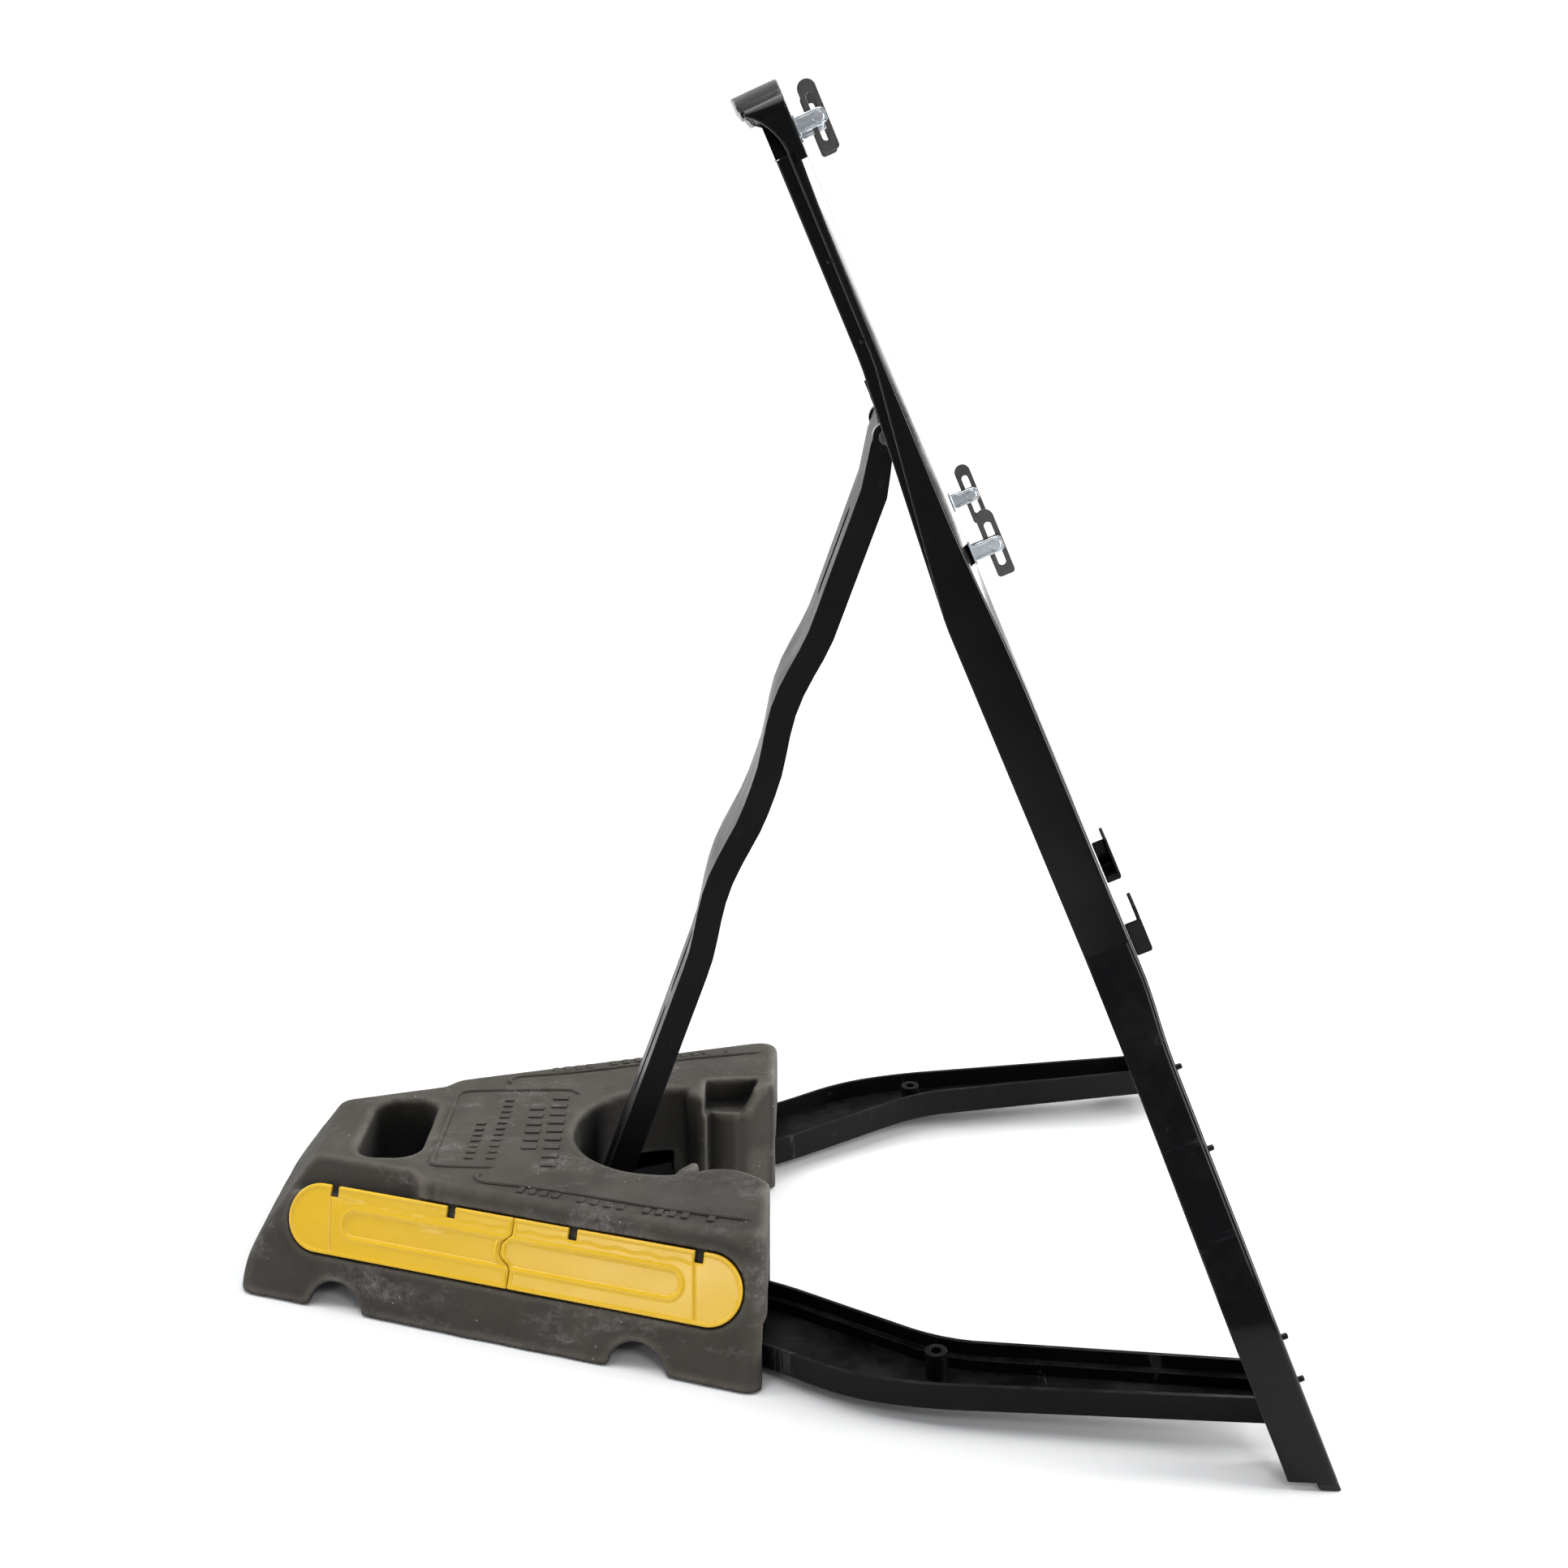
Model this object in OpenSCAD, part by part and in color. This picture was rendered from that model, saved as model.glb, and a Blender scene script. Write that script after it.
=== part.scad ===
// Folding stand for temporary road signs: a leaning front frame, a hinged rear
// prop, a folding two-rail base and a slide-on rubber ballast block.
// Axes: X across the stand, front (sign side) towards -Y, Z up, ground at Z = 0.
// All sizes in millimetres.

/* [Front frame] */
// Backward lean of the front frame from vertical, degrees
lean = 23.6;
// Half width over the two feet
foot_half = 357; // [320:400]
// Half width where the straight shanks end
shank_half = 338; // [300:380]
// Height of the shanks along the frame
shank_s = 160; // [120:200]
// Half width at the knee, where the legs turn into the uprights
knee_half = 170; // [140:200]
// Position of the knee along the frame
knee_s = 402; // [380:430]
// Half width at the top of the uprights
top_half = 114; // [100:140]
// Position of the top of the uprights along the frame
top_s = 1048; // [1000:1100]
// Wall thickness of the frame mouldings
wall = 3.6; // [3:0.1:5]
// Depth of the upper frame channel
channel_depth = 39; // [30:45]

/* [Rear prop] */
// Backward rake of the prop from vertical, degrees
prop_rake = 19.7;
// Length from the hinge pin to the foot of the prop
prop_len = 768; // [740:790]
// Half width of the prop at the hinge
prop_half_top = 57; // [50:58]
// Half width of the prop at the foot
prop_half_foot = 46; // [40:50]

/* [Folding base] */
// Height of the base hinge bolts above the ground
hinge_z = 47; // [40:55]
// Distance from the hinge bolts to the face of the rear crossbar
cross_r = 571; // [560:580]
// Height of the rails below the hinge line
rail_drop = 22; // [18:26]

/* [Ballast] */
// Length of the ballast along the ground
bal_len = 465; // [440:480]
// Height of the ballast
bal_h = 114; // [100:125]
// Half width of the front of the ballast
bal_front = 248; // [230:250]
// Half width of the rear of the ballast
bal_rear = 100; // [90:120]
// Inward tilt of the side faces, degrees
bal_tilt = 24; // [20:28]
// Half width of the slot round the prop
slot_half = 71; // [68:76]

/* [Sign clips] */
// Length of a sliding clip tongue
tongue_len = 54; // [50:60]
// Width of a clip tongue
tongue_w = 14; // [12:16]
// Radius of a clip rivet
rivet_r = 2.5; // [2:0.1:3]

/* [Hidden] */
// Shift that centres the whole stand on Y = 0
sh = -57.0;
// Rearward coordinates are measured from a line across the middle of the stand
function Y(u) = -u + sh;
// Where the front plane meets the ground
front_u = 407;
pin_u = 353;
hin_u = 52;
hin_z = 747;
hin_s = 826.7;
hin_d = 26.3;
base_tilt = 2.3;
bal_u = -44;
$fn = 48;

function lerp(a, b, t) = a + (b - a) * t;
function cl(t) = t < 0 ? 0 : t > 1 ? 1 : t;
function ease(t) = cl(t) * cl(t) * (3 - 2 * cl(t));
function bump(z, c, w) = abs(z - c) >= w ? 0 : (1 + cos(180 * (z - c) / w)) / 2;

// Outer half width of the front frame at position s along it
function raw_w(s) = s <= shank_s ? lerp(foot_half, shank_half, s / shank_s)
  : s <= knee_s ? lerp(shank_half, knee_half, (s - shank_s) / (knee_s - shank_s))
  : lerp(knee_half, top_half, (s - knee_s) / (top_s - knee_s));
function fw(s) = (raw_w(s - 16) + raw_w(s - 8) + raw_w(s) + raw_w(s + 8) + raw_w(s + 16)) / 5;
// Face width of the moulding at position s
function face(s) = lerp(35, 28, cl(s / knee_s));
function fi(s) = fw(s) - face(s);
// Front face: level on the upper frame, set back a little on the legs
function front_d(s) = lerp(11, 4.5, cl(s / 330)) * (1 - ease((s - 318) / 60));
// Rear edge of the outer flange
function out_d(s) = s > 688 ? lerp(channel_depth, 13, cl((s - 688) / 200)) : lerp(46, channel_depth, cl(s / 330));
// Rear edge of the inner flange
function in_d(s) = s > 688 ? lerp(channel_depth, 23, cl((s - 688) / 200)) : out_d(s);

module leaned() translate([0, Y(front_u), 0]) rotate([-lean, 0, 0]) children();
// Outline in the plane of the frame, thickness from depth d0 to d1
module plate(d0, d1) translate([0, d1, 0]) rotate([90, 0, 0]) linear_extrude(d1 - d0) children();
// Side profile, running across from x0 to x1
module side(x0, x1) translate([x0, 0, 0]) rotate([90, 0, 90]) linear_extrude(x1 - x0) children();
module both(k) mirror([k < 0 ? 1 : 0, 0, 0]) children();

function steps(a, b, n) = [for (i = [0 : n]) lerp(a, b, i / n)];
// The curves bend only near their knots, so outlines are sampled there
function knots(c, w) = [c - 2 * w, c - w, c, c + w, c + 2 * w];
function within(l, a, b) = concat([a], [for (s = l) if (s > a + 0.5 && s < b - 0.5) s], [b]);
function flip(l) = [for (i = [len(l) - 1 : -1 : 0]) l[i]];
frame_knots = concat(knots(shank_s, 8), knots(knee_s, 8));
depth_knots = concat([318, 328, 338, 348, 358, 368, 378], [688, 888]);
// Strip between two half width offsets, from s0 to s1
module strip(s0, s1, n, o0, o1, inner = false)
  polygon(concat(
    [for (s = within(frame_knots, s0, s1)) [inner ? fi(s) + o0 : fw(s) - o0, s]],
    [for (s = flip(within(frame_knots, s0, s1))) [inner ? fi(s) + o1 : fw(s) - o1, s]]));
module full_strip(s0, s1, n)
  polygon(concat([for (s = within(frame_knots, s0, s1)) [fw(s), s]], [for (s = flip(within(frame_knots, s0, s1))) [fi(s), s]]));
// Side profile bounded by the rear edge of a flange
module depth_out(s0, s1, n) polygon(concat([for (s = within(depth_knots, s0, s1)) [front_d(s), s]], [for (s = flip(within(depth_knots, s0, s1))) [out_d(s), s]]));
module depth_in(s0, s1, n) polygon(concat([for (s = within(depth_knots, s0, s1)) [front_d(s), s]], [for (s = flip(within(depth_knots, s0, s1))) [in_d(s), s]]));
module depth_web(s0, s1, n) polygon(concat([for (s = within(depth_knots, s0, s1)) [front_d(s), s]], [for (s = flip(within(depth_knots, s0, s1))) [front_d(s) + wall, s]]));
module rib(s, depth) plate(front_d(s), front_d(s) + depth)
  polygon([[fi(s) + 1, s], [fw(s) - 1, s], [fw(s + 3) - 1, s + 3], [fi(s + 3) + 1, s + 3]]);

module channel(s0, s1, n) {
  intersection() { plate(-1, 60) full_strip(s0, s1, n); side(0, 400) depth_web(s0, s1, n); }
  intersection() { plate(-1, 60) strip(s0, s1, n, 0, wall); side(0, 400) depth_out(s0, s1, n); }
  intersection() { plate(-1, 60) strip(s0, s1, n, 0, wall, true); side(0, 400) depth_in(s0, s1, n); }
}

module upright() leaned() {
  channel(knee_s, top_s, 18);
  for (s = [470 : 62 : 1000]) rib(s, 11);
}
module upright_left() color("#17181a") mirror([1, 0, 0]) upright();
module upright_right() color("#17181a") upright();

module leg() difference() {
  leaned() {
    channel(-4, knee_s, 16);
    for (s = [120 : 56 : 380]) rib(s, 14);
    // Locating pegs on the front face
    for (s = [95, 131, 258, 312]) translate([fw(s) - 9, front_d(s) + 1, s]) rotate([90, 0, 0]) cylinder(h = 5.5, r = 2.4);
  }
  translate([-500, -700, -60]) cube([1000, 1400, 66]);
  translate([250, Y(pin_u), hinge_z]) rotate([0, 90, 0]) cylinder(h = 120, r = 5);
}
module leg_left() color("#17181a") mirror([1, 0, 0]) leg();
module leg_right() color("#17181a") leg();

// Rubber pad under the front half of the foot
module foot_pad() intersection() {
  leaned() plate(front_d(0), 26) full_strip(-8, 20, 2);
  translate([-500, -700, 0]) cube([1000, 1400, 6]);
}
module foot_pad_left() color("#222222") mirror([1, 0, 0]) foot_pad();
module foot_pad_right() color("#222222") foot_pad();

module lower_crossbar() color("#17181a") leaned() {
  plate(0, wall) polygon([[-fi(419), 419], [fi(419), 419], [fi(460), 460], [-fi(460), 460]]);
  plate(wall, 24) polygon([[-fi(419), 419], [fi(419), 419], [fi(422.6), 422.6], [-fi(422.6), 422.6]]);
  plate(wall, 24) polygon([[-fi(456.4), 456.4], [fi(456.4), 456.4], [fi(460), 460], [-fi(460), 460]]);
  for (x = [-108 : 27 : 108]) translate([x - 1.5, wall, 422.6]) cube([3, 12, 33.8]);
}
module mid_crossbar() color("#17181a") leaned() {
  plate(0, wall) polygon([[-fi(650), 650], [fi(650), 650], [fi(682), 682], [-fi(682), 682]]);
  plate(wall, 12) polygon([[-fi(650), 650], [fi(650), 650], [fi(653), 653], [-fi(653), 653]]);
  plate(wall, 12) polygon([[-fi(679), 679], [fi(679), 679], [fi(682), 682], [-fi(682), 682]]);
}

// Apron below the knee that carries the two lower sign hooks
module sign_apron() color("#17181a") leaned() {
  plate(0, wall) polygon([[-104, 352], [104, 352], [104, 419], [-104, 419]]);
  plate(wall, 12) polygon([[-104, 352], [104, 352], [104, 355], [-104, 355]]);
  for (x = [-104, 101]) translate([x, wall, 355]) cube([3, 8.4, 64]);
}

module hinge_crossbar() color("#17181a") leaned() difference() {
  union() {
    plate(0, wall) polygon([[-fi(834), 834], [fi(834), 834], [fi(868), 868], [-fi(868), 868]]);
    plate(wall, 12) polygon([[-fi(834), 834], [fi(834), 834], [fi(837), 837], [-fi(837), 837]]);
    plate(wall, 12) polygon([[-fi(865), 865], [fi(865), 865], [fi(868), 868], [-fi(868), 868]]);
    for (x = [-72, 60]) {
      translate([x, hin_d, hin_s]) rotate([0, 90, 0]) cylinder(h = 12, r = 11);
      translate([x, wall, hin_s - 6]) cube([12, hin_d - wall, 40]);
      translate([x + 3, 10, hin_s + 20]) cube([6, 16, 26]);
    }
  }
  translate([-90, hin_d, hin_s]) rotate([0, 90, 0]) cylinder(h = 180, r = 4);
}

// Bowed carry handle that closes the top of the frame
function arch(x) = 1088 + 17 * (1 - pow(x / 114, 2));
function grip(x) = 28 + 11 * (1 - pow(x / 114, 2));
module carry_handle() color("#17181a") leaned() intersection() {
  n = 20;
  side(-200, 200) polygon(concat([[-1, 1040], [-1, 1074]], [for (a = [0 : 15 : 90]) [19 - 20 * cos(a), 1080 + 25 * sin(a)]], [[60, 1105], [60, 1040]]));
  union() {
  plate(0, wall) polygon(concat([for (x = steps(-fw(1048), fw(1048), n)) [x, arch(x)]], [[fw(1048), top_s], [-fw(1048), top_s]]));
  intersection() {
    plate(0, 60) polygon(concat([for (x = steps(-fw(1048), fw(1048), n)) [x, arch(x)]], [for (x = steps(fw(1048), -fw(1048), n)) [x, arch(x) - 4.4]]));
    translate([0, 0, 1000]) linear_extrude(200) polygon(concat([for (x = steps(-114, 114, n)) [x, grip(x)]], [[114, 0], [-114, 0]]));
  }
  intersection() {
    plate(10, 60) polygon(concat([for (x = steps(-fw(1048), fw(1048), n)) [x, arch(x) - 3]], [for (x = steps(fw(1048), -fw(1048), n)) [x, arch(x) - 15]]));
    translate([0, 0, 1000]) linear_extrude(200) polygon(concat([for (x = steps(-114, 114, n)) [x, grip(x)]], [for (x = steps(114, -114, n)) [x, grip(x) - 4]]));
  }
  for (k = [-1, 1]) both(k) translate([fi(top_s), 0, 0]) {
    side(0, wall) polygon([[0, top_s], [23, top_s], [27, 1072], [24, 1088], [0, 1088]]);
    side(fw(top_s) - fi(top_s) - wall, fw(top_s) - fi(top_s)) polygon([[0, top_s], [13, top_s], [20, 1066], [24, 1086], [0, 1086]]);
  }
  }
}

// Sign clip: U bracket, rivet and sliding slotted tongue
clip_pos = [["tl", -100, 1063.9, -17.7], ["tr", 100, 1063.9, -17.7], ["ml", -123, 726, -19.2], ["mr", 123, 726, -19.2]];
module bracket(i) color("#c9ccd0") leaned() translate([clip_pos[i][1], 0, clip_pos[i][2]]) difference() {
  union() {
    translate([-7, -1.6, -8]) cube([14, 1.6, 16]);
    for (x = [-4, 2.4]) side(x, x + 1.6) polygon([[-1.6, -6], [clip_pos[i][3] - 4, -6], [clip_pos[i][3] - 6, -4], [clip_pos[i][3] - 6, 4], [clip_pos[i][3] - 4, 6], [-1.6, 6]]);
  }
  translate([-20, clip_pos[i][3], 0]) rotate([0, 90, 0]) cylinder(h = 40, r = rivet_r);
}
module rivet(i) color("#b4b8bc") leaned() translate([clip_pos[i][1], clip_pos[i][3], clip_pos[i][2]]) rotate([0, 90, 0]) {
  translate([0, 0, -4]) cylinder(h = 8, r = rivet_r);
  translate([0, 0, -5.6]) cylinder(h = 1.6, r = 4.2);
  translate([0, 0, 4]) cylinder(h = 1.6, r = 4.2);
}
module tongue(i) color("#9a9da1") leaned() translate([clip_pos[i][1] - 1, clip_pos[i][3], clip_pos[i][2] + 1]) difference() {
  side(0, 2) union() {
    translate([0, tongue_len / 2 - tongue_w / 2]) circle(r = tongue_w / 2);
    translate([-tongue_w / 2, -tongue_len / 2 + 3]) square([tongue_w, tongue_len - 3 - tongue_w / 2]);
    translate([-tongue_w / 2 + 3, -tongue_len / 2]) square([tongue_w - 6, 6]);
    for (y = [-tongue_w / 2 + 3, tongue_w / 2 - 3]) translate([y, -tongue_len / 2 + 3]) circle(r = 3);
  }
  side(-1, 3) union() {
    translate([-2.85, -16]) square([5.7, 30]);
    translate([0, 14]) circle(r = 2.85);
    translate([0, -16]) circle(r = 2.85);
  }
}
module clip_bracket_tl() bracket(0);
module clip_bracket_tr() bracket(1);
module clip_bracket_ml() bracket(2);
module clip_bracket_mr() bracket(3);
module clip_rivet_tl() rivet(0);
module clip_rivet_tr() rivet(1);
module clip_rivet_ml() rivet(2);
module clip_rivet_mr() rivet(3);
module clip_tongue_tl() tongue(0);
module clip_tongue_tr() tongue(1);
module clip_tongue_ml() tongue(2);
module clip_tongue_mr() tongue(3);

// Ledge hook that carries the lower edge of a sign, outer end closed
module hook() leaned() translate([0, 0, 357]) {
  side(70, 101) polygon([[0, 0], [-13, 0], [-14, 3], [-14, 42], [-10.6, 42], [-10.6, 6], [0, 6]]);
  side(101, 104) polygon([[0, 0], [-13, 0], [-14, 3], [-14, 30], [0, 30]]);
}
module sign_hook_left() color("#202124") mirror([1, 0, 0]) hook();
module sign_hook_right() color("#202124") hook();

// Rear prop: channel open to the front, jogged twice along its length
module prop_place() translate([0, Y(hin_u), hin_z]) rotate([prop_rake, 0, 0]) children();
function jog(z) = 7.5 * (bump(z, -235, 72) + bump(z, -405, 78));
function q_front(z) = lerp(-10, -18.5, ease((-z - 8) / 40)) + jog(z);
function q_rear(z) = lerp(9, 3.2, ease((-z - 4) / 50)) + jog(z);
function hw(z) = lerp(prop_half_top, prop_half_foot, cl(-z / 700));
module prop_side(df, dr, z0, z1, n) polygon(concat([for (z = steps(z0, z1, n)) [q_front(z) + df, z]], [for (z = steps(z1, z0, n)) [q_rear(z) + dr, z]]));
module prop_leg() color("#1a1b1d") prop_place() difference() {
  union() {
    difference() {
      intersection() {
        side(-70, 70) prop_side(0, 0, 6, -prop_len, 44);
        plate(-60, 60) polygon([[-hw(0), 6], [hw(0), 6], [hw(-700), -700], [hw(-700), -prop_len], [-hw(-700), -prop_len], [-hw(-700), -700]]);
      }
      intersection() {
        side(-70, 70) prop_side(-30, -wall, 7, -prop_len + 4, 44);
        plate(-60, 60) polygon([[wall - hw(0), 7], [hw(0) - wall, 7], [hw(-700) - wall, -700], [hw(-700) - wall, -prop_len + 4], [wall - hw(-700), -prop_len + 4], [wall - hw(-700), -700]]);
      }
    }
    for (x = [-57, 39]) translate([x, 0, 0]) rotate([0, 90, 0]) cylinder(h = 18, r = 9);
    // Stiffening webs across the channel
    for (z = [-150, -300, -445, -660]) translate([-44, q_rear(z) - 14, z]) cube([88, 12, 3]);
  }
  translate([-80, 0, 0]) rotate([0, 90, 0]) cylinder(h = 160, r = 4.08);
  // Clearance round the lugs of the frame
  // Lightening slots through the back web
  for (s = [[-110, 30], [-500, 22], [-590, 36], [-700, 20]]) translate([0, 0, s[0]]) {
    plate(-4, 40) union() { translate([-9, -s[1]]) square([18, 2 * s[1]]); for (k = [-1, 1]) translate([0, k * s[1]]) circle(r = 9); }
  }
}
module prop_pin() color("#8e9195") leaned() translate([-76, hin_d, hin_s]) rotate([0, 90, 0]) {
  cylinder(h = 152, r = 4);
  cylinder(h = 4, r = 6.5);
  translate([0, 0, 148]) cylinder(h = 4, r = 6.5);
}

// Folding base: two upward open rails joined by a rear crossbar
module base_place() translate([0, Y(pin_u), hinge_z]) rotate([-base_tilt, 0, 0]) children();
function rin(r) = r < 250 ? lerp(262, 222, r / 250) : r < 392 ? lerp(222, 126, (r - 250) / 142) : lerp(126, 62, (r - 392) / 170);
function rout(r) = r < 270 ? lerp(309, 279, r / 270) : r < 330 ? lerp(279, 262, (r - 270) / 60) : r < 400 ? lerp(262, 214, (r - 330) / 70) : lerp(214, 136, (r - 400) / 162);
function ri(r) = (rin(r - 24) + rin(r - 12) + rin(r) + rin(r + 12) + rin(r + 24)) / 5;
function ro(r) = (rout(r - 24) + rout(r - 12) + rout(r) + rout(r + 12) + rout(r + 24)) / 5;
in_knots = concat(knots(250, 12), knots(392, 12));
out_knots = concat(knots(270, 12), knots(330, 12), knots(400, 12));
module rail_plan(a, b, n, lo, hi) polygon(concat(
  [for (r = within(lo == 2 ? out_knots : in_knots, a, b)) [lo == 0 ? ri(r) : lo == 1 ? ri(r) + wall : ro(r) - wall, r]],
  [for (r = flip(within(hi == 2 ? out_knots : in_knots, a, b))) [hi == 0 ? ri(r) + wall : hi == 1 ? ri(r) + 10 : ro(r), r]]));
rail_end = cross_r;
module rail() base_place() difference() {
  union() {
    translate([0, 0, -rail_drop]) linear_extrude(wall) rail_plan(-12, rail_end, 26, 0, 2);
    translate([0, 0, -rail_drop]) linear_extrude(rail_drop + 4) rail_plan(-12, rail_end, 26, 0, 0);
    translate([0, 0, -rail_drop]) linear_extrude(rail_drop) rail_plan(-12, rail_end, 26, 2, 2);
    // Ledge along the inner wall
    translate([0, 0, -rail_drop]) linear_extrude(rail_drop - 8) rail_plan(-12, rail_end, 26, 1, 1);
    // End wall and hinge ear
    translate([ri(-12), -12, -rail_drop]) cube([ro(-12) - ri(-12), wall, rail_drop]);
    translate([295, 0, 0]) rotate([0, 90, 0]) cylinder(h = 12, r = 10);
    // Screw boss
    translate([240, 256, -rail_drop]) cylinder(h = rail_drop + 5, r = 9);
  }
  translate([240, 256, -6]) cylinder(h = 30, r = 4.5);
  translate([280, 0, 0]) rotate([0, 90, 0]) cylinder(h = 60, r = 5.08);
}
module rail_left() color("#1a1b1d") mirror([1, 0, 0]) rail();
module rail_right() color("#1a1b1d") rail();
module rear_crossbar() color("#1a1b1d") base_place() {
  translate([-140, cross_r, -rail_drop]) cube([280, 20, wall]);
  translate([-140, cross_r, -rail_drop]) cube([280, wall, rail_drop + 4]);
  translate([-140, cross_r + 20 - wall, -rail_drop]) cube([280, wall, rail_drop + 4]);
  translate([-48, cross_r, 4]) cube([96, 8, 8]);
  for (x = [-140, -60, 0, 60, 136.4]) translate([x, cross_r, -rail_drop]) cube([3.6, 20, rail_drop + 4]);
}
// Hinge bolts between the legs and the rails
module hinge_bolt() translate([291.2, Y(pin_u), hinge_z]) rotate([0, 90, 0]) {
  cylinder(h = 55, r = 5);
  cylinder(h = 3.4, r = 8);
}
module hinge_bolt_left() color("#8e9195") mirror([1, 0, 0]) hinge_bolt();
module hinge_bolt_right() color("#8e9195") hinge_bolt();

// Ballast: wedge plan, sloping sides, slot open to the front
turn = atan((bal_front - bal_rear) / bal_len);
module bal_place() translate([0, Y(bal_u), 0]) children();
// Everything on the inner side of a side face moved inwards by inset
module inside_face(inset) translate([bal_front, 0, 0]) rotate([0, 0, turn])
  rotate([90, 0, 0]) translate([0, 0, -900]) linear_extrude(1200)
    polygon([[-inset + 200 * tan(bal_tilt), -200], [-inset - 300 * tan(bal_tilt), 300], [-900, 300], [-900, -200]]);
module bal_solid(inset, z0, z1, k0, k1) intersection() {
  translate([-300, k0, z0]) cube([600, k1 - k0, z1 - z0]);
  inside_face(inset);
  mirror([1, 0, 0]) inside_face(inset);
}
module rrect(w, h, r) {
  translate([-w / 2 + r, -h / 2]) square([w - 2 * r, h]);
  translate([-w / 2, -h / 2 + r]) square([w, h - 2 * r]);
  for (i = [-1, 1], j = [-1, 1]) translate([i * (w / 2 - r), j * (h / 2 - r)]) circle(r = r);
}
// Local frame of the panel recess: origin on the side face, first axis along it
module side_place() translate([bal_front, 0, 0]) rotate([0, 0, turn]) rotate([0, -bal_tilt, 0]) rotate([0, 90, 0]) rotate([0, 0, 90]) children();
panel_c = 238;
panel_z = 77;
panel_l = 424;
panel_h = 60;
module stadium(l, h) {
  translate([-l / 2 + h / 2, -h / 2]) square([l - h, h]);
  for (k = [-1, 1]) translate([k * (l / 2 - h / 2), 0]) circle(r = h / 2);
}
module panel_recess(t, grow) side_place() translate([panel_c, panel_z, -t]) linear_extrude(t + 8) stadium(panel_l + grow, panel_h + grow);
module ballast_block() color("#4a4642") bal_place() difference() {
  intersection() {
    bal_solid(0, 0, bal_h, 0, bal_len);
    side(-400, 400) polygon([[0, 0], [bal_len, 0], [bal_len, 30], [bal_len - 70, bal_h], [0, bal_h]]);
  }
  // Slot round the prop
  translate([0, 0, -1]) linear_extrude(200) difference() {
    union() {
      translate([-slot_half, -5]) square([2 * slot_half, 97]);
      translate([0, 92]) circle(r = slot_half + 13);
      polygon([[-slot_half - 17, -5], [slot_half + 17, -5], [slot_half + 17, 2], [slot_half, 20], [-slot_half, 20], [-slot_half - 17, 2]]);
    }
    for (k = [-1, 1]) both(k) polygon([[slot_half + 20, 54], [slot_half - 1, 54], [slot_half - 12, 62], [slot_half - 12, 67], [slot_half + 7, 79], [slot_half + 20, 79]]);
  }
  // Hand hole
  translate([0, 337, -1]) linear_extrude(200) rrect(112, 58, 22);
  // Hollow underside that straddles the base
  bal_solid(13, -1, 46, -1, 208);
  // Strap tunnels across the underside
  for (y = [103, 373]) translate([-300, y, -3]) rotate([0, 90, 0]) cylinder(h = 600, r = 25);
  // Narrower top round the hand hole
  for (k = [-1, 1]) both(k) intersection() {
    side_place() translate([290, bal_h - 14, -11]) linear_extrude(60) square([240, 60]);
    translate([0, 290, bal_h - 24]) cube([300, 240, 60]);
  }
  // Pocket on the inner top edge of the right arm
  translate([60, 12, bal_h - 22]) cube([48, 50, 40]);
  for (k = [-1, 1]) both(k) panel_recess(3, 1.6);
}
module zig(off) polygon([[-300, -60], [-4 + off, -60], [-4 + off, -14], [7 + off, -2], [7 + off, 6], [-2 + off, 16], [-2 + off, 60], [-300, 60]]);
module panel_body() difference() {
  union() {
    side_place() translate([panel_c, panel_z, -3]) linear_extrude(3) stadium(panel_l, panel_h);
  }
  side_place() translate([panel_c, panel_z - 4, -1.2]) linear_extrude(5) stadium(300, 24);
  for (x = [-170, -57, 57, 170]) side_place() translate([panel_c + x - 4, panel_z + panel_h / 2 - 9, -5]) cube([8, 12, 12]);
}
module panel_front(k) bal_place() both(k) intersection() {
  panel_body();
  side_place() translate([panel_c, panel_z, -10]) linear_extrude(20) zig(-0.2);
}
module panel_rear(k) bal_place() both(k) difference() {
  panel_body();
  side_place() translate([panel_c, panel_z, -10]) linear_extrude(20) zig(0.2);
}
module panel_left_front() color("#e8bd33") panel_front(-1);
module panel_left_rear() color("#e8bd33") panel_rear(-1);
module panel_right_front() color("#e8bd33") panel_front(1);
module panel_right_rear() color("#e8bd33") panel_rear(1);

upright_left();
upright_right();
leg_left();
leg_right();
foot_pad_left();
foot_pad_right();
lower_crossbar();
mid_crossbar();
sign_apron();
hinge_crossbar();
carry_handle();
clip_bracket_tl();
clip_bracket_tr();
clip_bracket_ml();
clip_bracket_mr();
clip_rivet_tl();
clip_rivet_tr();
clip_rivet_ml();
clip_rivet_mr();
clip_tongue_tl();
clip_tongue_tr();
clip_tongue_ml();
clip_tongue_mr();
sign_hook_left();
sign_hook_right();
prop_leg();
prop_pin();
rail_left();
rail_right();
rear_crossbar();
hinge_bolt_left();
hinge_bolt_right();
ballast_block();
panel_left_front();
panel_left_rear();
panel_right_front();
panel_right_rear();
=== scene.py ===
import math

import bmesh
import bpy
import numpy as np
from mathutils import Matrix, Vector


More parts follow.
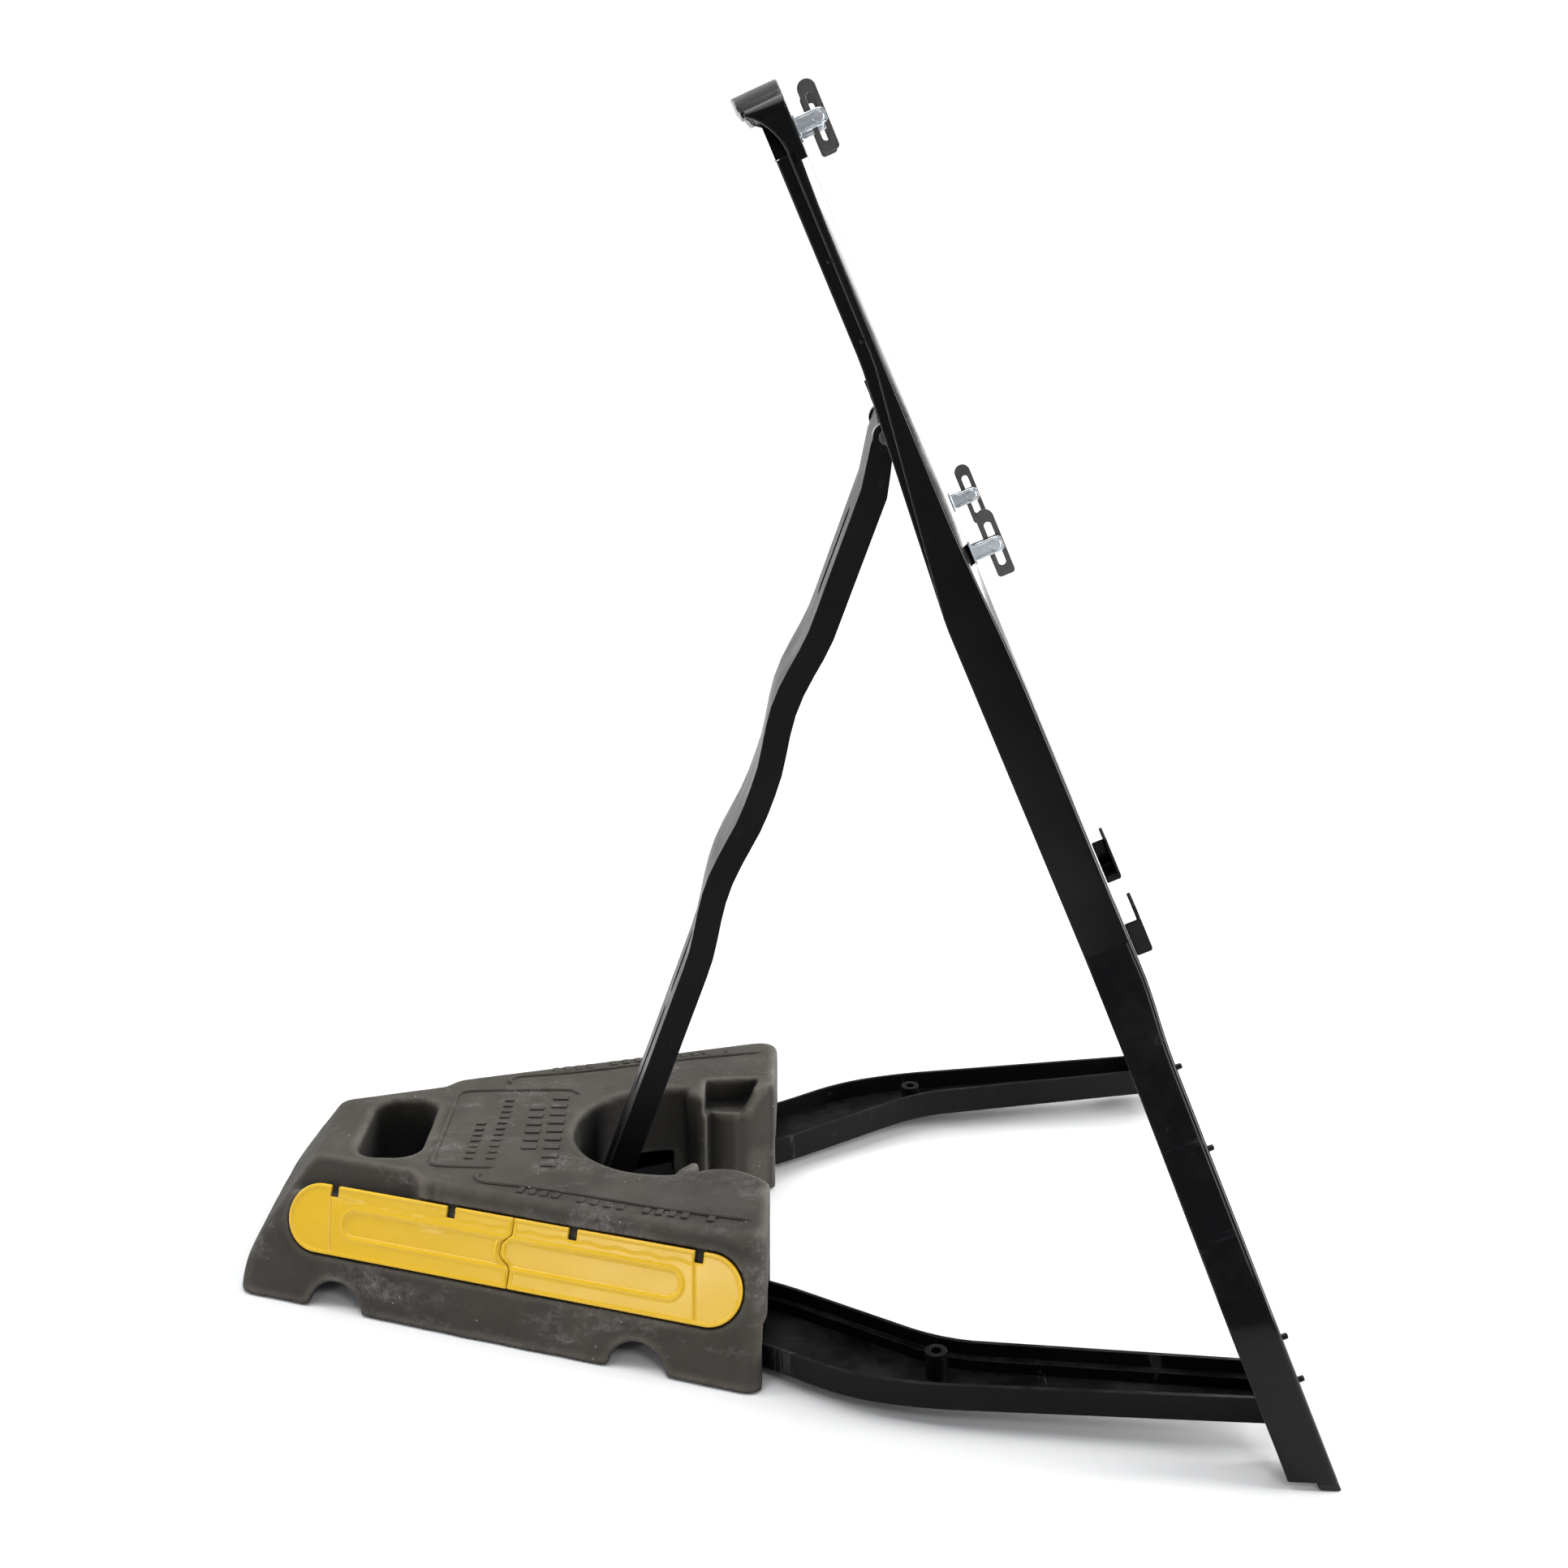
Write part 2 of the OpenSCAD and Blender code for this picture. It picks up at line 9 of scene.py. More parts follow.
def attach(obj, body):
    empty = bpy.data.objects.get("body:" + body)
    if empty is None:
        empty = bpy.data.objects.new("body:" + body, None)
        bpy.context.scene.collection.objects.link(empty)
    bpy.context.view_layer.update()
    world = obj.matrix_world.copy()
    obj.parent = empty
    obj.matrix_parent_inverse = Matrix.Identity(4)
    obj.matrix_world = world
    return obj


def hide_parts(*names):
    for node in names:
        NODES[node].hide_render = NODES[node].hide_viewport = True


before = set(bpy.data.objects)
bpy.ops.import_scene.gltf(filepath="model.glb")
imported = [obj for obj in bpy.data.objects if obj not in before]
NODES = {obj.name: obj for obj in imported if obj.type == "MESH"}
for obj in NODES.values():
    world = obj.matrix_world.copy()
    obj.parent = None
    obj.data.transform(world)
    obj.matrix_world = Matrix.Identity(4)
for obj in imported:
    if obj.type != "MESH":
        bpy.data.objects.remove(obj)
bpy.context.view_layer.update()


SH = -57.0          # rearward shift used by the CAD, mm
BAL_Y = 44.0 + SH   # front face of the ballast, mm
scene = bpy.context.scene
col = scene.collection

# ------------------------------------------------------------------ camera
cam_data = bpy.data.cameras.new("camera")
cam = bpy.data.objects.new("camera", cam_data)
col.objects.link(cam)
scene.camera = cam
pitch = math.atan(741 / 2400)
yaw = math.atan(0.0183)
fwd = Vector((math.cos(yaw) * math.cos(pitch), math.sin(yaw) * math.cos(pitch), -math.sin(pitch)))
right = fwd.cross(Vector((0, 0, 1))).normalized()
up = right.cross(fwd)
rot = Matrix((right, up, -fwd)).transposed()
cam.matrix_world = Matrix.Translation(Vector((-1.6, SH / 1000, 0.936))) @ rot.to_4x4()
cam_data.sensor_fit = "HORIZONTAL"
cam_data.sensor_width = 36
cam_data.lens = 36 * 2400 / 1932
cam_data.clip_end = 100


# --------------------------------------------------------------- materials
def new_mat(name):
    m = bpy.data.materials.new(name)
    m.use_nodes = True
    nt = m.node_tree
    nt.nodes.clear()
    out = nt.nodes.new("ShaderNodeOutputMaterial")
    b = nt.nodes.new("ShaderNodeBsdfPrincipled")
    nt.links.new(b.outputs[0], out.inputs[0])
    return m, nt, b


class NT:
    """Small helper that wires shader nodes."""

    def __init__(self, nt):
        self.nt = nt
        self.tc = nt.nodes.new("ShaderNodeTexCoord")
        self.obj = self.tc.outputs["Object"]

    def link(self, a, b):
        self.nt.links.new(a, b)

    def noise(self, scale, detail=4, rough=0.55, vec=None, dist=0.0):
        n = self.nt.nodes.new("ShaderNodeTexNoise")
        n.inputs["Scale"].default_value = scale
        n.inputs["Detail"].default_value = detail
        n.inputs["Roughness"].default_value = rough
        n.inputs["Distortion"].default_value = dist
        self.link(vec or self.obj, n.inputs["Vector"])
        return n.outputs["Fac"]

    def scaled(self, sx, sy, sz, rx=0.0, ry=0.0, rz=0.0):
        n = self.nt.nodes.new("ShaderNodeMapping")
        n.inputs["Scale"].default_value = (sx, sy, sz)
        n.inputs["Rotation"].default_value = (rx, ry, rz)
        self.link(self.obj, n.inputs["Vector"])
        return n.outputs[0]

    def voronoi(self, scale, feature="F1", vec=None):
        n = self.nt.nodes.new("ShaderNodeTexVoronoi")
        n.feature = feature
        n.inputs["Scale"].default_value = scale
        self.link(vec or self.obj, n.inputs["Vector"])
        return n.outputs["Distance"]

    def ramp(self, fac, stops):
        n = self.nt.nodes.new("ShaderNodeValToRGB")
        el = n.color_ramp.elements
        while len(el) < len(stops):
            el.new(0.5)
        for e, (p, c) in zip(el, stops):
            e.position = p
            e.color = (c, c, c, 1) if isinstance(c, (int, float)) else (*c, 1)
        self.link(fac, n.inputs[0])
        return n.outputs[0]

    def mix(self, fac, a, b, mode="MIX"):
        n = self.nt.nodes.new("ShaderNodeMix")
        n.data_type = "RGBA"
        n.blend_type = mode
        for i, v in ((0, fac), (6, a), (7, b)):
            if hasattr(v, "is_output"):
                self.link(v, n.inputs[i])
            elif isinstance(v, (int, float)):
                n.inputs[i].default_value = v if i == 0 else (v, v, v, 1)
            else:
                n.inputs[i].default_value = (*v, 1)
        return n.outputs[2]

    def math(self, op, a, b=0.5, clamp=False):
        n = self.nt.nodes.new("ShaderNodeMath")
        n.operation = op
        n.use_clamp = clamp
        for sock, v in ((n.inputs[0], a), (n.inputs[1], b)):
            if hasattr(v, "is_output"):
                self.link(v, sock)
            else:
                sock.default_value = v
        return n.outputs[0]

    def bump(self, height, strength, dist, normal=None):
        n = self.nt.nodes.new("ShaderNodeBump")
        n.inputs["Strength"].default_value = strength
        n.inputs["Distance"].default_value = dist
        self.link(height, n.inputs["Height"])
        if normal is not None:
            self.link(normal, n.inputs["Normal"])
        return n.outputs[0]

    def edge(self, radius, samples=4):
        """1 near sharp or rounded edges, 0 on flats."""
        b = self.nt.nodes.new("ShaderNodeBevel")
        b.samples = samples
        b.inputs["Radius"].default_value = radius
        g = self.nt.nodes.new("ShaderNodeNewGeometry")
        d = self.nt.nodes.new("ShaderNodeVectorMath")
        d.operation = "DOT_PRODUCT"
        self.link(b.outputs[0], d.inputs[0])
        self.link(g.outputs["Normal"], d.inputs[1])
        return self.ramp(d.outputs["Value"], [(0.0, 1.0), (0.9, 0.55), (0.985, 0.0)])

    def facing_up(self):
        g = self.nt.nodes.new("ShaderNodeNewGeometry")
        s = self.nt.nodes.new("ShaderNodeSeparateXYZ")
        self.link(g.outputs["Normal"], s.inputs[0])
        return s.outputs["Z"]


def plastic_black(name, base, rough, dust=0.5, scratch=1.0, spec=0.17):
    m, nt, b = new_mat(name)
    n = NT(nt)
    big = n.noise(7, 4, 0.6)
    fine = n.noise(420, 3, 0.6)
    mould = n.noise(60, 5, 0.6)
    c = n.mix(n.ramp(big, [(0.35, 0.0), (0.7, 1.0)]), base, tuple(min(1, v * 1.7 + 0.0015) for v in base))
    # hairline scratches along the moulding, and a few across
    sc = n.noise(38, 6, 0.75, n.scaled(1, 0.06, 0.05, 0.41, 0.0, 0.12))
    sc = n.ramp(sc, [(0.60, 0.0), (0.64, 1.0), (0.68, 0.0)])
    sc2 = n.noise(30, 6, 0.75, n.scaled(0.07, 1.2, 0.9, 0.9, 0.5, 0.4))
    sc2 = n.ramp(sc2, [(0.655, 0.0), (0.675, 1.0), (0.70, 0.0)])
    wear = n.math("MULTIPLY", n.math("MAXIMUM", sc, sc2), n.ramp(n.noise(11, 3), [(0.48, 0.0), (0.62, 1.0)]))
    ed = n.math("MULTIPLY", n.edge(0.0011), n.ramp(n.noise(55, 5, 0.7), [(0.42, 0.0), (0.66, 1.0)]))
    c = n.mix(n.math("MULTIPLY", wear, 0.30 * scratch), c, (0.075, 0.077, 0.082))
    c = n.mix(n.math("MULTIPLY", ed, 0.45), c, (0.085, 0.087, 0.092))
    # road dust settled on upward faces
    d = n.math("MULTIPLY", n.ramp(n.facing_up(), [(0.25, 0.0), (0.95, 1.0)]), n.ramp(n.noise(26, 6, 0.7), [(0.42, 0.0), (0.75, 1.0)]))
    c = n.mix(n.math("MULTIPLY", d, 0.20 * dust), c, (0.20, 0.185, 0.165))
    n.link(c, b.inputs["Base Color"])
    r = n.ramp(n.noise(15, 5, 0.6), [(0.3, rough - 0.05), (0.72, rough + 0.09)])
    r = n.mix(n.math("MULTIPLY", wear, 0.5), r, 0.62)
    r = n.mix(n.math("MULTIPLY", ed, 0.6), r, 0.6)
    r = n.mix(n.math("MULTIPLY", d, 0.7 * dust), r, 0.75)
    n.link(r, b.inputs["Roughness"])
    b.inputs["Specular IOR Level"].default_value = spec
    h = n.bump(mould, 0.05, 0.0005)
    h = n.bump(fine, 0.05, 0.00008, h)
    h = n.bump(wear, 0.10, 0.00015, h)
    n.link(h, b.inputs["Normal"])
    return m


def rubber(name, base, dusty=1.0):
    m, nt, b = new_mat(name)
    n = NT(nt)
    big = n.noise(5.5, 5, 0.6, dist=0.6)
    mid = n.noise(34, 6, 0.65)
    fine = n.noise(520, 4, 0.7)
    lo = tuple(v * 0.62 for v in base)
    hi = tuple(v * 1.45 for v in base)
    c = n.mix(n.ramp(big, [(0.32, 0.0), (0.70, 1.0)]), lo, hi)
    c = n.mix(n.ramp(mid, [(0.35, 0.55), (0.65, 0.0)]), c, tuple(v * 0.62 for v in base), "MIX")
    # painted shade: ambient occlusion darkens the colour in the slot, the hand hole and other recesses
    ao = nt.nodes.new("ShaderNodeAmbientOcclusion")
    ao.samples = 6
    ao.inputs["Distance"].default_value = 0.14
    painted_recess_shade = n.ramp(ao.outputs["AO"], [(0.18, 0.04), (0.70, 1.0)])
    # worn, dusty tops and rubbed edges
    d = n.math("MULTIPLY", n.ramp(n.facing_up(), [(0.1, 0.15), (0.9, 1.0)]), n.ramp(n.noise(13, 6, 0.72), [(0.40, 0.0), (0.74, 1.0)]))
    c = n.mix(n.math("MULTIPLY", d, 0.36 * dusty), c, (0.105, 0.098, 0.086))
    gp = nt.nodes.new("ShaderNodeAttribute")
    gp.attribute_name = "convexity"
    cx = n.math("MULTIPLY", n.math("ADD", gp.outputs["Fac"], 3.0), 1 / 6)
    ed = n.math("MULTIPLY", n.ramp(cx, [(0.545, 0.0), (0.68, 1.0)]), n.ramp(n.noise(30, 6, 0.75), [(0.34, 0.25), (0.62, 1.0)]))
    # darker colour in concave creases and hollows
    concave_darkening = n.ramp(cx, [(0.32, 0.45), (0.47, 1.0)])
    c = n.mix(n.math("MULTIPLY", ed, 0.50), c, (0.150, 0.130, 0.106))
    # scuffs: pale smears
    s = n.noise(13, 7, 0.8, n.scaled(1, 0.45, 1.3, 0.3, 0.2, 0.5))
    s = n.math("MULTIPLY", n.ramp(s, [(0.515, 0.0), (0.64, 1.0)]), n.ramp(n.noise(110, 5, 0.8), [(0.40, 0.0), (0.60, 1.0)]))
    c = n.mix(n.math("MULTIPLY", s, 0.60), c, (0.21, 0.205, 0.195))
    # pale crumbs pressed into the recycled rubber
    v = n.voronoi(95)
    sp = n.math("MULTIPLY", n.ramp(v, [(0.045, 1.0), (0.075, 0.0)]), n.ramp(n.noise(21, 2), [(0.52, 0.0), (0.56, 1.0)]))
    c = n.mix(n.math("MULTIPLY", sp, 0.85), c, (0.40, 0.38, 0.34))
    # apply the painted recess shade
    c = n.mix(1.0, c, painted_recess_shade, "MULTIPLY")
    c = n.mix(1.0, c, concave_darkening, "MULTIPLY")
    n.link(c, b.inputs["Base Color"])
    r = n.ramp(mid, [(0.3, 0.72), (0.7, 0.90)])
    r = n.mix(n.math("MULTIPLY", ed, 0.5), r, 0.66)
    n.link(r, b.inputs["Roughness"])
    b.inputs["Specular IOR Level"].default_value = 0.42
    pit = n.ramp(n.voronoi(230), [(0.05, 0.0), (0.22, 1.0)])
    h = n.bump(mid, 0.55, 0.0016)
    h = n.bump(fine, 0.5, 0.0005, h)
    h = n.bump(pit, 0.18, 0.0004, h)
    h = n.bump(n.noise(9, 4, 0.6), 0.35, 0.004, h)
    n.link(h, b.inputs["Normal"])
    return m


def yellow(name):
    m, nt, b = new_mat(name)
    n = NT(nt)
    big = n.noise(6, 4, 0.6)
    c = n.mix(n.ramp(big, [(0.3, 0.0), (0.75, 1.0)]), (0.735, 0.445, 0.014), (0.800, 0.505, 0.026))
    # painted shade: ambient occlusion darkens the yellow towards orange in the pressed grooves and round the recessed
    # rim
    ao = nt.nodes.new("ShaderNodeAmbientOcclusion")
    ao.samples = 6
    ao.inputs["Distance"].default_value = 0.007
    c = n.mix(n.ramp(ao.outputs["AO"], [(0.35, 0.80), (0.93, 0.0)]), c, (0.46, 0.215, 0.006))
    gr = n.ramp(n.noise(22, 6, 0.75), [(0.60, 0.0), (0.80, 1.0)])
    c = n.mix(n.math("MULTIPLY", gr, 0.18), c, (0.36, 0.24, 0.08))
    ed = n.math("MULTIPLY", n.edge(0.0014), n.ramp(n.noise(70, 5, 0.7), [(0.40, 0.0), (0.65, 1.0)]))
    c = n.mix(n.math("MULTIPLY", ed, 0.35), c, (0.92, 0.74, 0.30))
    sc = n.noise(30, 6, 0.75, n.scaled(0.5, 0.06, 1.0, 0.25, 0.1, 0.33))
    sc = n.math("MULTIPLY", n.ramp(sc, [(0.62, 0.0), (0.65, 1.0), (0.68, 0.0)]), n.ramp(n.noise(9, 3), [(0.45, 0.0), (0.6, 1.0)]))
    c = n.mix(n.math("MULTIPLY", sc, 0.35), c, (0.93, 0.70, 0.26))
    n.link(c, b.inputs["Base Color"])
    b.inputs["Specular IOR Level"].default_value = 0.42
    r = n.ramp(n.noise(18, 5), [(0.3, 0.20), (0.75, 0.32)])
    r = n.mix(n.math("MULTIPLY", sc, 0.6), r, 0.6)
    n.link(r, b.inputs["Roughness"])
    h = n.bump(n.noise(75, 4), 0.10, 0.0004)
    h = n.bump(sc, 0.2, 0.0002, h)
    n.link(h, b.inputs["Normal"])
    return m


def steel(name, base, rough, dark=0.0, axis=(1, 1, 0.05), stain=0.35):
    m, nt, b = new_mat(name)
    n = NT(nt)
    b.inputs["Metallic"].default_value = 0.92
    spang = n.noise(130, 4, 0.6)
    brush = n.noise(300, 4, 0.6, n.scaled(*axis))
    c = n.mix(n.ramp(spang, [(0.3, 0.0), (0.7, 1.0)]), tuple(v * 0.92 for v in base), base)
    st = n.ramp(n.noise(48, 6, 0.75), [(0.45, 0.0), (0.72, 1.0)])
    c = n.mix(n.math("MULTIPLY", st, stain + dark), c, (0.13, 0.125, 0.118))
    ed = n.edge(0.0006)
    c = n.mix(n.math("MULTIPLY", ed, 0.4), c, tuple(min(1, v * 1.25) for v in base))
    n.link(c, b.inputs["Base Color"])
    r = n.ramp(brush, [(0.3, rough), (0.7, rough + 0.16)])
    r = n.mix(n.math("MULTIPLY", st, 0.5), r, 0.6)
    n.link(r, b.inputs["Roughness"])
    h = n.bump(brush, 0.08, 0.00003)
    h = n.bump(spang, 0.05, 0.00005, h)
    n.link(h, b.inputs["Normal"])
    return m


M_FRAME = plastic_black("frame_plastic", (0.0022, 0.0023, 0.0026), 0.14, 0.4, 0.9, 0.16)
M_PROP = plastic_black("prop_plastic", (0.0026, 0.0027, 0.0030), 0.36, 0.4, 1.3, 0.10)
M_RAIL = plastic_black("rail_plastic", (0.0024, 0.0025, 0.0028), 0.30, 0.4, 1.4, 0.10)
M_FOOT = rubber("foot_rubber", (0.018, 0.018, 0.018), 0.5)
M_BALLAST = rubber("ballast_rubber", (0.0410, 0.0362, 0.0285))
M_YELLOW = yellow("panel_plastic")
M_ZINC = steel("clip_zinc", (0.60, 0.64, 0.67), 0.20, 0.0, (1, 0.05, 1), 0.12)
M_TONGUE = steel("tongue_steel", (0.11, 0.107, 0.104), 0.30, 0.2)
M_PIN = steel("pin_steel", (0.06, 0.06, 0.063), 0.34, 0.1, (0.05, 1, 1))


# ------------------------------------------------------------ mesh helpers
def put(name, mesh, mat, body, replaces=(), smooth=True):
    o = bpy.data.objects.new(name, mesh)
    col.objects.link(o)
    mesh.materials.clear()
    mesh.materials.append(mat)
    if smooth:
        mesh.polygons.foreach_set("use_smooth", [True] * len(mesh.polygons))
    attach(o, body)
    if replaces:
        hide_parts(*replaces)
    return o


def rounded(node, mat, body, width, segs=3, angle=28, name=None):
    """A copy of a CAD node's shape with softened edges."""
    me = NODES[node].data.copy()
    me.name = (name or node + "_skin")
    bm = bmesh.new()
    bm.from_mesh(me)
    bmesh.ops.remove_doubles(bm, verts=bm.verts, dist=2e-5)
    bmesh.ops.dissolve_limit(bm, angle_limit=math.radians(1.2), verts=bm.verts, edges=bm.edges)
    bmesh.ops.recalc_face_normals(bm, faces=bm.faces)
    bm.to_mesh(me)
    bm.free()
    tmp = bpy.data.objects.new("tmp", me)
    col.objects.link(tmp)
    mod = tmp.modifiers.new("round", "BEVEL")
    mod.width = width
    mod.segments = segs
    mod.limit_method = "ANGLE"
    mod.angle_limit = math.radians(angle)
    mod.use_clamp_overlap = True
    mod.harden_normals = True
    wn = tmp.modifiers.new("wn", "WEIGHTED_NORMAL")
    wn.keep_sharp = True
    for p in me.polygons:
        p.use_smooth = True
    dg = bpy.context.evaluated_depsgraph_get()
    out = bpy.data.meshes.new_from_object(tmp.evaluated_get(dg))
    bpy.data.objects.remove(tmp)
    out.name = name or node + "_skin"
    return put(name or node + "_skin", out, mat, body, (node,))


def surface_nets(d, origin, step):
    """Closed smooth surface at d = 0 of a sampled distance field, d < 0 inside."""
    nx, ny, nz = d.shape
    s = d < 0
    c = np.zeros((nx - 1, ny - 1, nz - 1, 3), np.float32)
    cnt = np.zeros((nx - 1, ny - 1, nz - 1), np.float32)
    for ax in range(3):
        lo = [slice(None)] * 3
        hi = [slice(None)] * 3
        lo[ax] = slice(0, -1)
        hi[ax] = slice(1, None)
        a, b = d[tuple(lo)], d[tuple(hi)]
        cross = s[tuple(lo)] != s[tuple(hi)]
        t = np.where(cross, a / np.where(cross, a - b, 1), 0).astype(np.float32)
        oth = [i for i in range(3) if i != ax]
        for i in (0, 1):
            for j in (0, 1):
                sl = [slice(None)] * 3
                sl[oth[0]] = slice(i, (d.shape[oth[0]] - 1) + i)
                sl[oth[1]] = slice(j, (d.shape[oth[1]] - 1) + j)
                cc = cross[tuple(sl)]
                tt = t[tuple(sl)]
                c[..., ax] += np.where(cc, tt, 0)
                c[..., oth[0]] += np.where(cc, i, 0)
                c[..., oth[1]] += np.where(cc, j, 0)
                cnt += cc
    act = cnt > 0
    idx = -np.ones(act.shape, np.int64)
    idx[act] = np.arange(act.sum())
    ii = np.argwhere(act)
    v = (ii + c[act] / cnt[act][:, None]) * step + np.array(origin)
    quads = []
    for ax in range(3):
        o1, o2 = [(1, 2), (2, 0), (0, 1)][ax]
        lo = [slice(1, -1)] * 3
        hi = [slice(1, -1)] * 3
        lo[ax] = slice(0, -1)
        hi[ax] = slice(1, None)
        a, b = s[tuple(lo)], s[tuple(hi)]
        for flip, mask in ((False, a & ~b), (True, ~a & b)):
            p = np.argwhere(mask)
            if not len(p):
                continue
            p = p + 1
            p[:, ax] -= 1
            q = []
            for da, db in ((0, 0), (1, 0), (1, 1), (0, 1)):
                r = p.copy()
                r[:, o1] -= 1 - da
                r[:, o2] -= 1 - db
                q.append(idx[r[:, 0], r[:, 1], r[:, 2]])
            q = np.stack(q, 1)
            quads.append(q[:, ::-1] if flip else q)
    return v, np.concatenate(quads)


def mesh_from(name, v, q):
    me = bpy.data.meshes.new(name)
    me.vertices.add(len(v))
    me.vertices.foreach_set("co", np.asarray(v, np.float32).ravel())
    k = q.shape[1]
    me.loops.add(len(q) * k)
    me.loops.foreach_set("vertex_index", q.ravel().astype(np.int32))
    me.polygons.add(len(q))
    me.polygons.foreach_set("loop_start", np.arange(0, len(q) * k, k, dtype=np.int32))
    me.update(calc_edges=True)
    me.validate()
    return me


def smax(a, b, k):
    h = np.clip(0.5 + 0.5 * (a - b) / k, 0, 1)
    return b + (a - b) * h + k * h * (1 - h)


def smin(a, b, k):
    return -smax(-a, -b, k)


def box2(x, y, hx, hy, r):
    qx = np.abs(x) - hx + r
    qy = np.abs(y) - hy + r
    return np.hypot(np.maximum(qx, 0), np.maximum(qy, 0)) + np.minimum(np.maximum(qx, qy), 0) - r


def ss(a, b, x):
    t = np.clip((x - a) / (b - a), 0, 1)
    return t * t * (3 - 2 * t)


# ------------------------------------------------------------------ ballast
L, H, WF, WR = 465.0, 114.0, 248.0, 100.0
TILT = math.radians(24)
TURN = math.atan((WF - WR) / L)


def side_coords(x, k, z):
    """Along, up-slope and outward coordinates on the +X side face of the ballast."""
    hx, hk = x - WF, k
    a = -hx * math.sin(TURN) + hk * math.cos(TURN)
    n = hx * math.cos(TURN) + hk * math.sin(TURN)
    u = z * math.cos(TILT) - n * math.sin(TILT)
    o = n * math.cos(TILT) + z * math.sin(TILT)
    return a, u, o


def side_world(a, u, o, sx=1):
    """Row-frame metres from side-face coordinates."""
    n = o * math.cos(TILT) - u * math.sin(TILT)
    z = u * math.cos(TILT) + o * math.sin(TILT)
    x = WF - a * math.sin(TURN) + n * math.cos(TURN)
    k = a * math.cos(TURN) + n * math.sin(TURN)
    return np.stack([sx * x / 1000, (BAL_Y + k) / 1000, z / 1000], -1)


def lump(x, y, z, seed, scale):
    r = np.random.RandomState(seed)
    out = np.zeros_like(x)
    for i in range(7):
        w = r.uniform(-1, 1, 3) * scale * (1 + 0.35 * i)
        out += np.sin(x * w[0] + y * w[1] + z * w[2] + r.uniform(0, 6.28)) / (1 + 0.4 * i)
    return out / 3


def ballast_field(X, K, Z):
    ax = np.abs(X)
    a, u, o = side_coords(ax, K, Z)
    # outer block
    rear = (K - (L - 3)) * math.cos(math.radians(36)) + (Z - 28) * math.sin(math.radians(36))
    rearv = K - (L - 1.0)
    # plan rounding of the rear end
    rr = np.hypot(ax * 0.62, np.maximum(K - 250, 0)) - 203
    top = Z - (H - 0.6)
    d = smax(o + 0.4, -K - 4.6, 24)
    d = smax(d, rearv, 12)
    d = smax(d, rear, 14)
    d = smax(d, rr - (H - Z) * 0.50, 16)
    # top edge, softer round the hand hole, with the narrower rear part
    ledge = 11.5 * ss(292, 312, K)
    d = smax(d, top, 7)
    d2 = smin(o + ledge + 0.4, u - 97, 5)
    d = smax(d, np.where(K > 284, d2, -30), 3)
    d = smax(d, -Z + 0.0, 3)
    # slot with rounded chamber, nubs and flared mouth
    ch = np.hypot(ax, K - 92) - 83
    st = np.maximum(ax - 71, K - 95)
    slot = smin(ch, st, 5)
    fl = np.maximum(ax - 92 + 1.0 * np.maximum(K, 0) - 0.008 * np.maximum(K, 0) ** 2, K - 26)
    slot = smin(slot, fl, 9)
    nub = np.maximum(np.maximum(60.5 - ax, 59.5 - K), K - 79 + 0.0 * K)
    nub = smax(nub, (K - 66) * 0.80 - (ax - 60.5) * 0.62, 3)
    slot = smax(slot, -nub, 4)
    d = smax(d, -slot, 7)
    # hand hole with a softened rim
    hole = box2(X, K - 337, 56 - 0.02 * (H - Z), 28.6, 21)
    d = smax(d, -hole, 7)
    # hollow underside
    hol = np.maximum(np.maximum(o + 13, Z - 46), K - 208)
    wall = np.maximum(np.maximum(slot - 10, K - 96), ax - (120 - 0.376 * K))
    hol = np.maximum(hol, -wall)
    d = smax(d, -hol, 3)
    # half-round tunnels
    for y, r in ((103, 24.5), (373, 24.5)):
        d = smax(d, -(np.hypot(K - y, Z + 3) - r), 4)
    # notches in the inner top edges of the arms
    px = smax(X - 106 + 0.10 * (K - 12), K - 62, 3)
    px = smax(px, 13 + 0.55 * np.maximum(H - 6 - Z, 0) + 0.22 * np.maximum(100 - X, 0) - K, 5)
    px = smax(px, (H - 21) - Z - 0.20 * (X - 70), 4)
    px = np.maximum(px, -X)
    d = smax(d, -px, 3)
    # recess for the side panel
    aa, uu = a - 238, u - 77
    rec = box2(aa, uu, 213, 31.2, 31.1)
    d = smax(d, -np.maximum(rec, -3.7 - o), 1.0)
    # moulding waviness and dents
    d = d + 0.42 * lump(X, K, Z, 3, 0.035) + 0.22 * lump(X, K, Z, 9, 0.12)
    return d


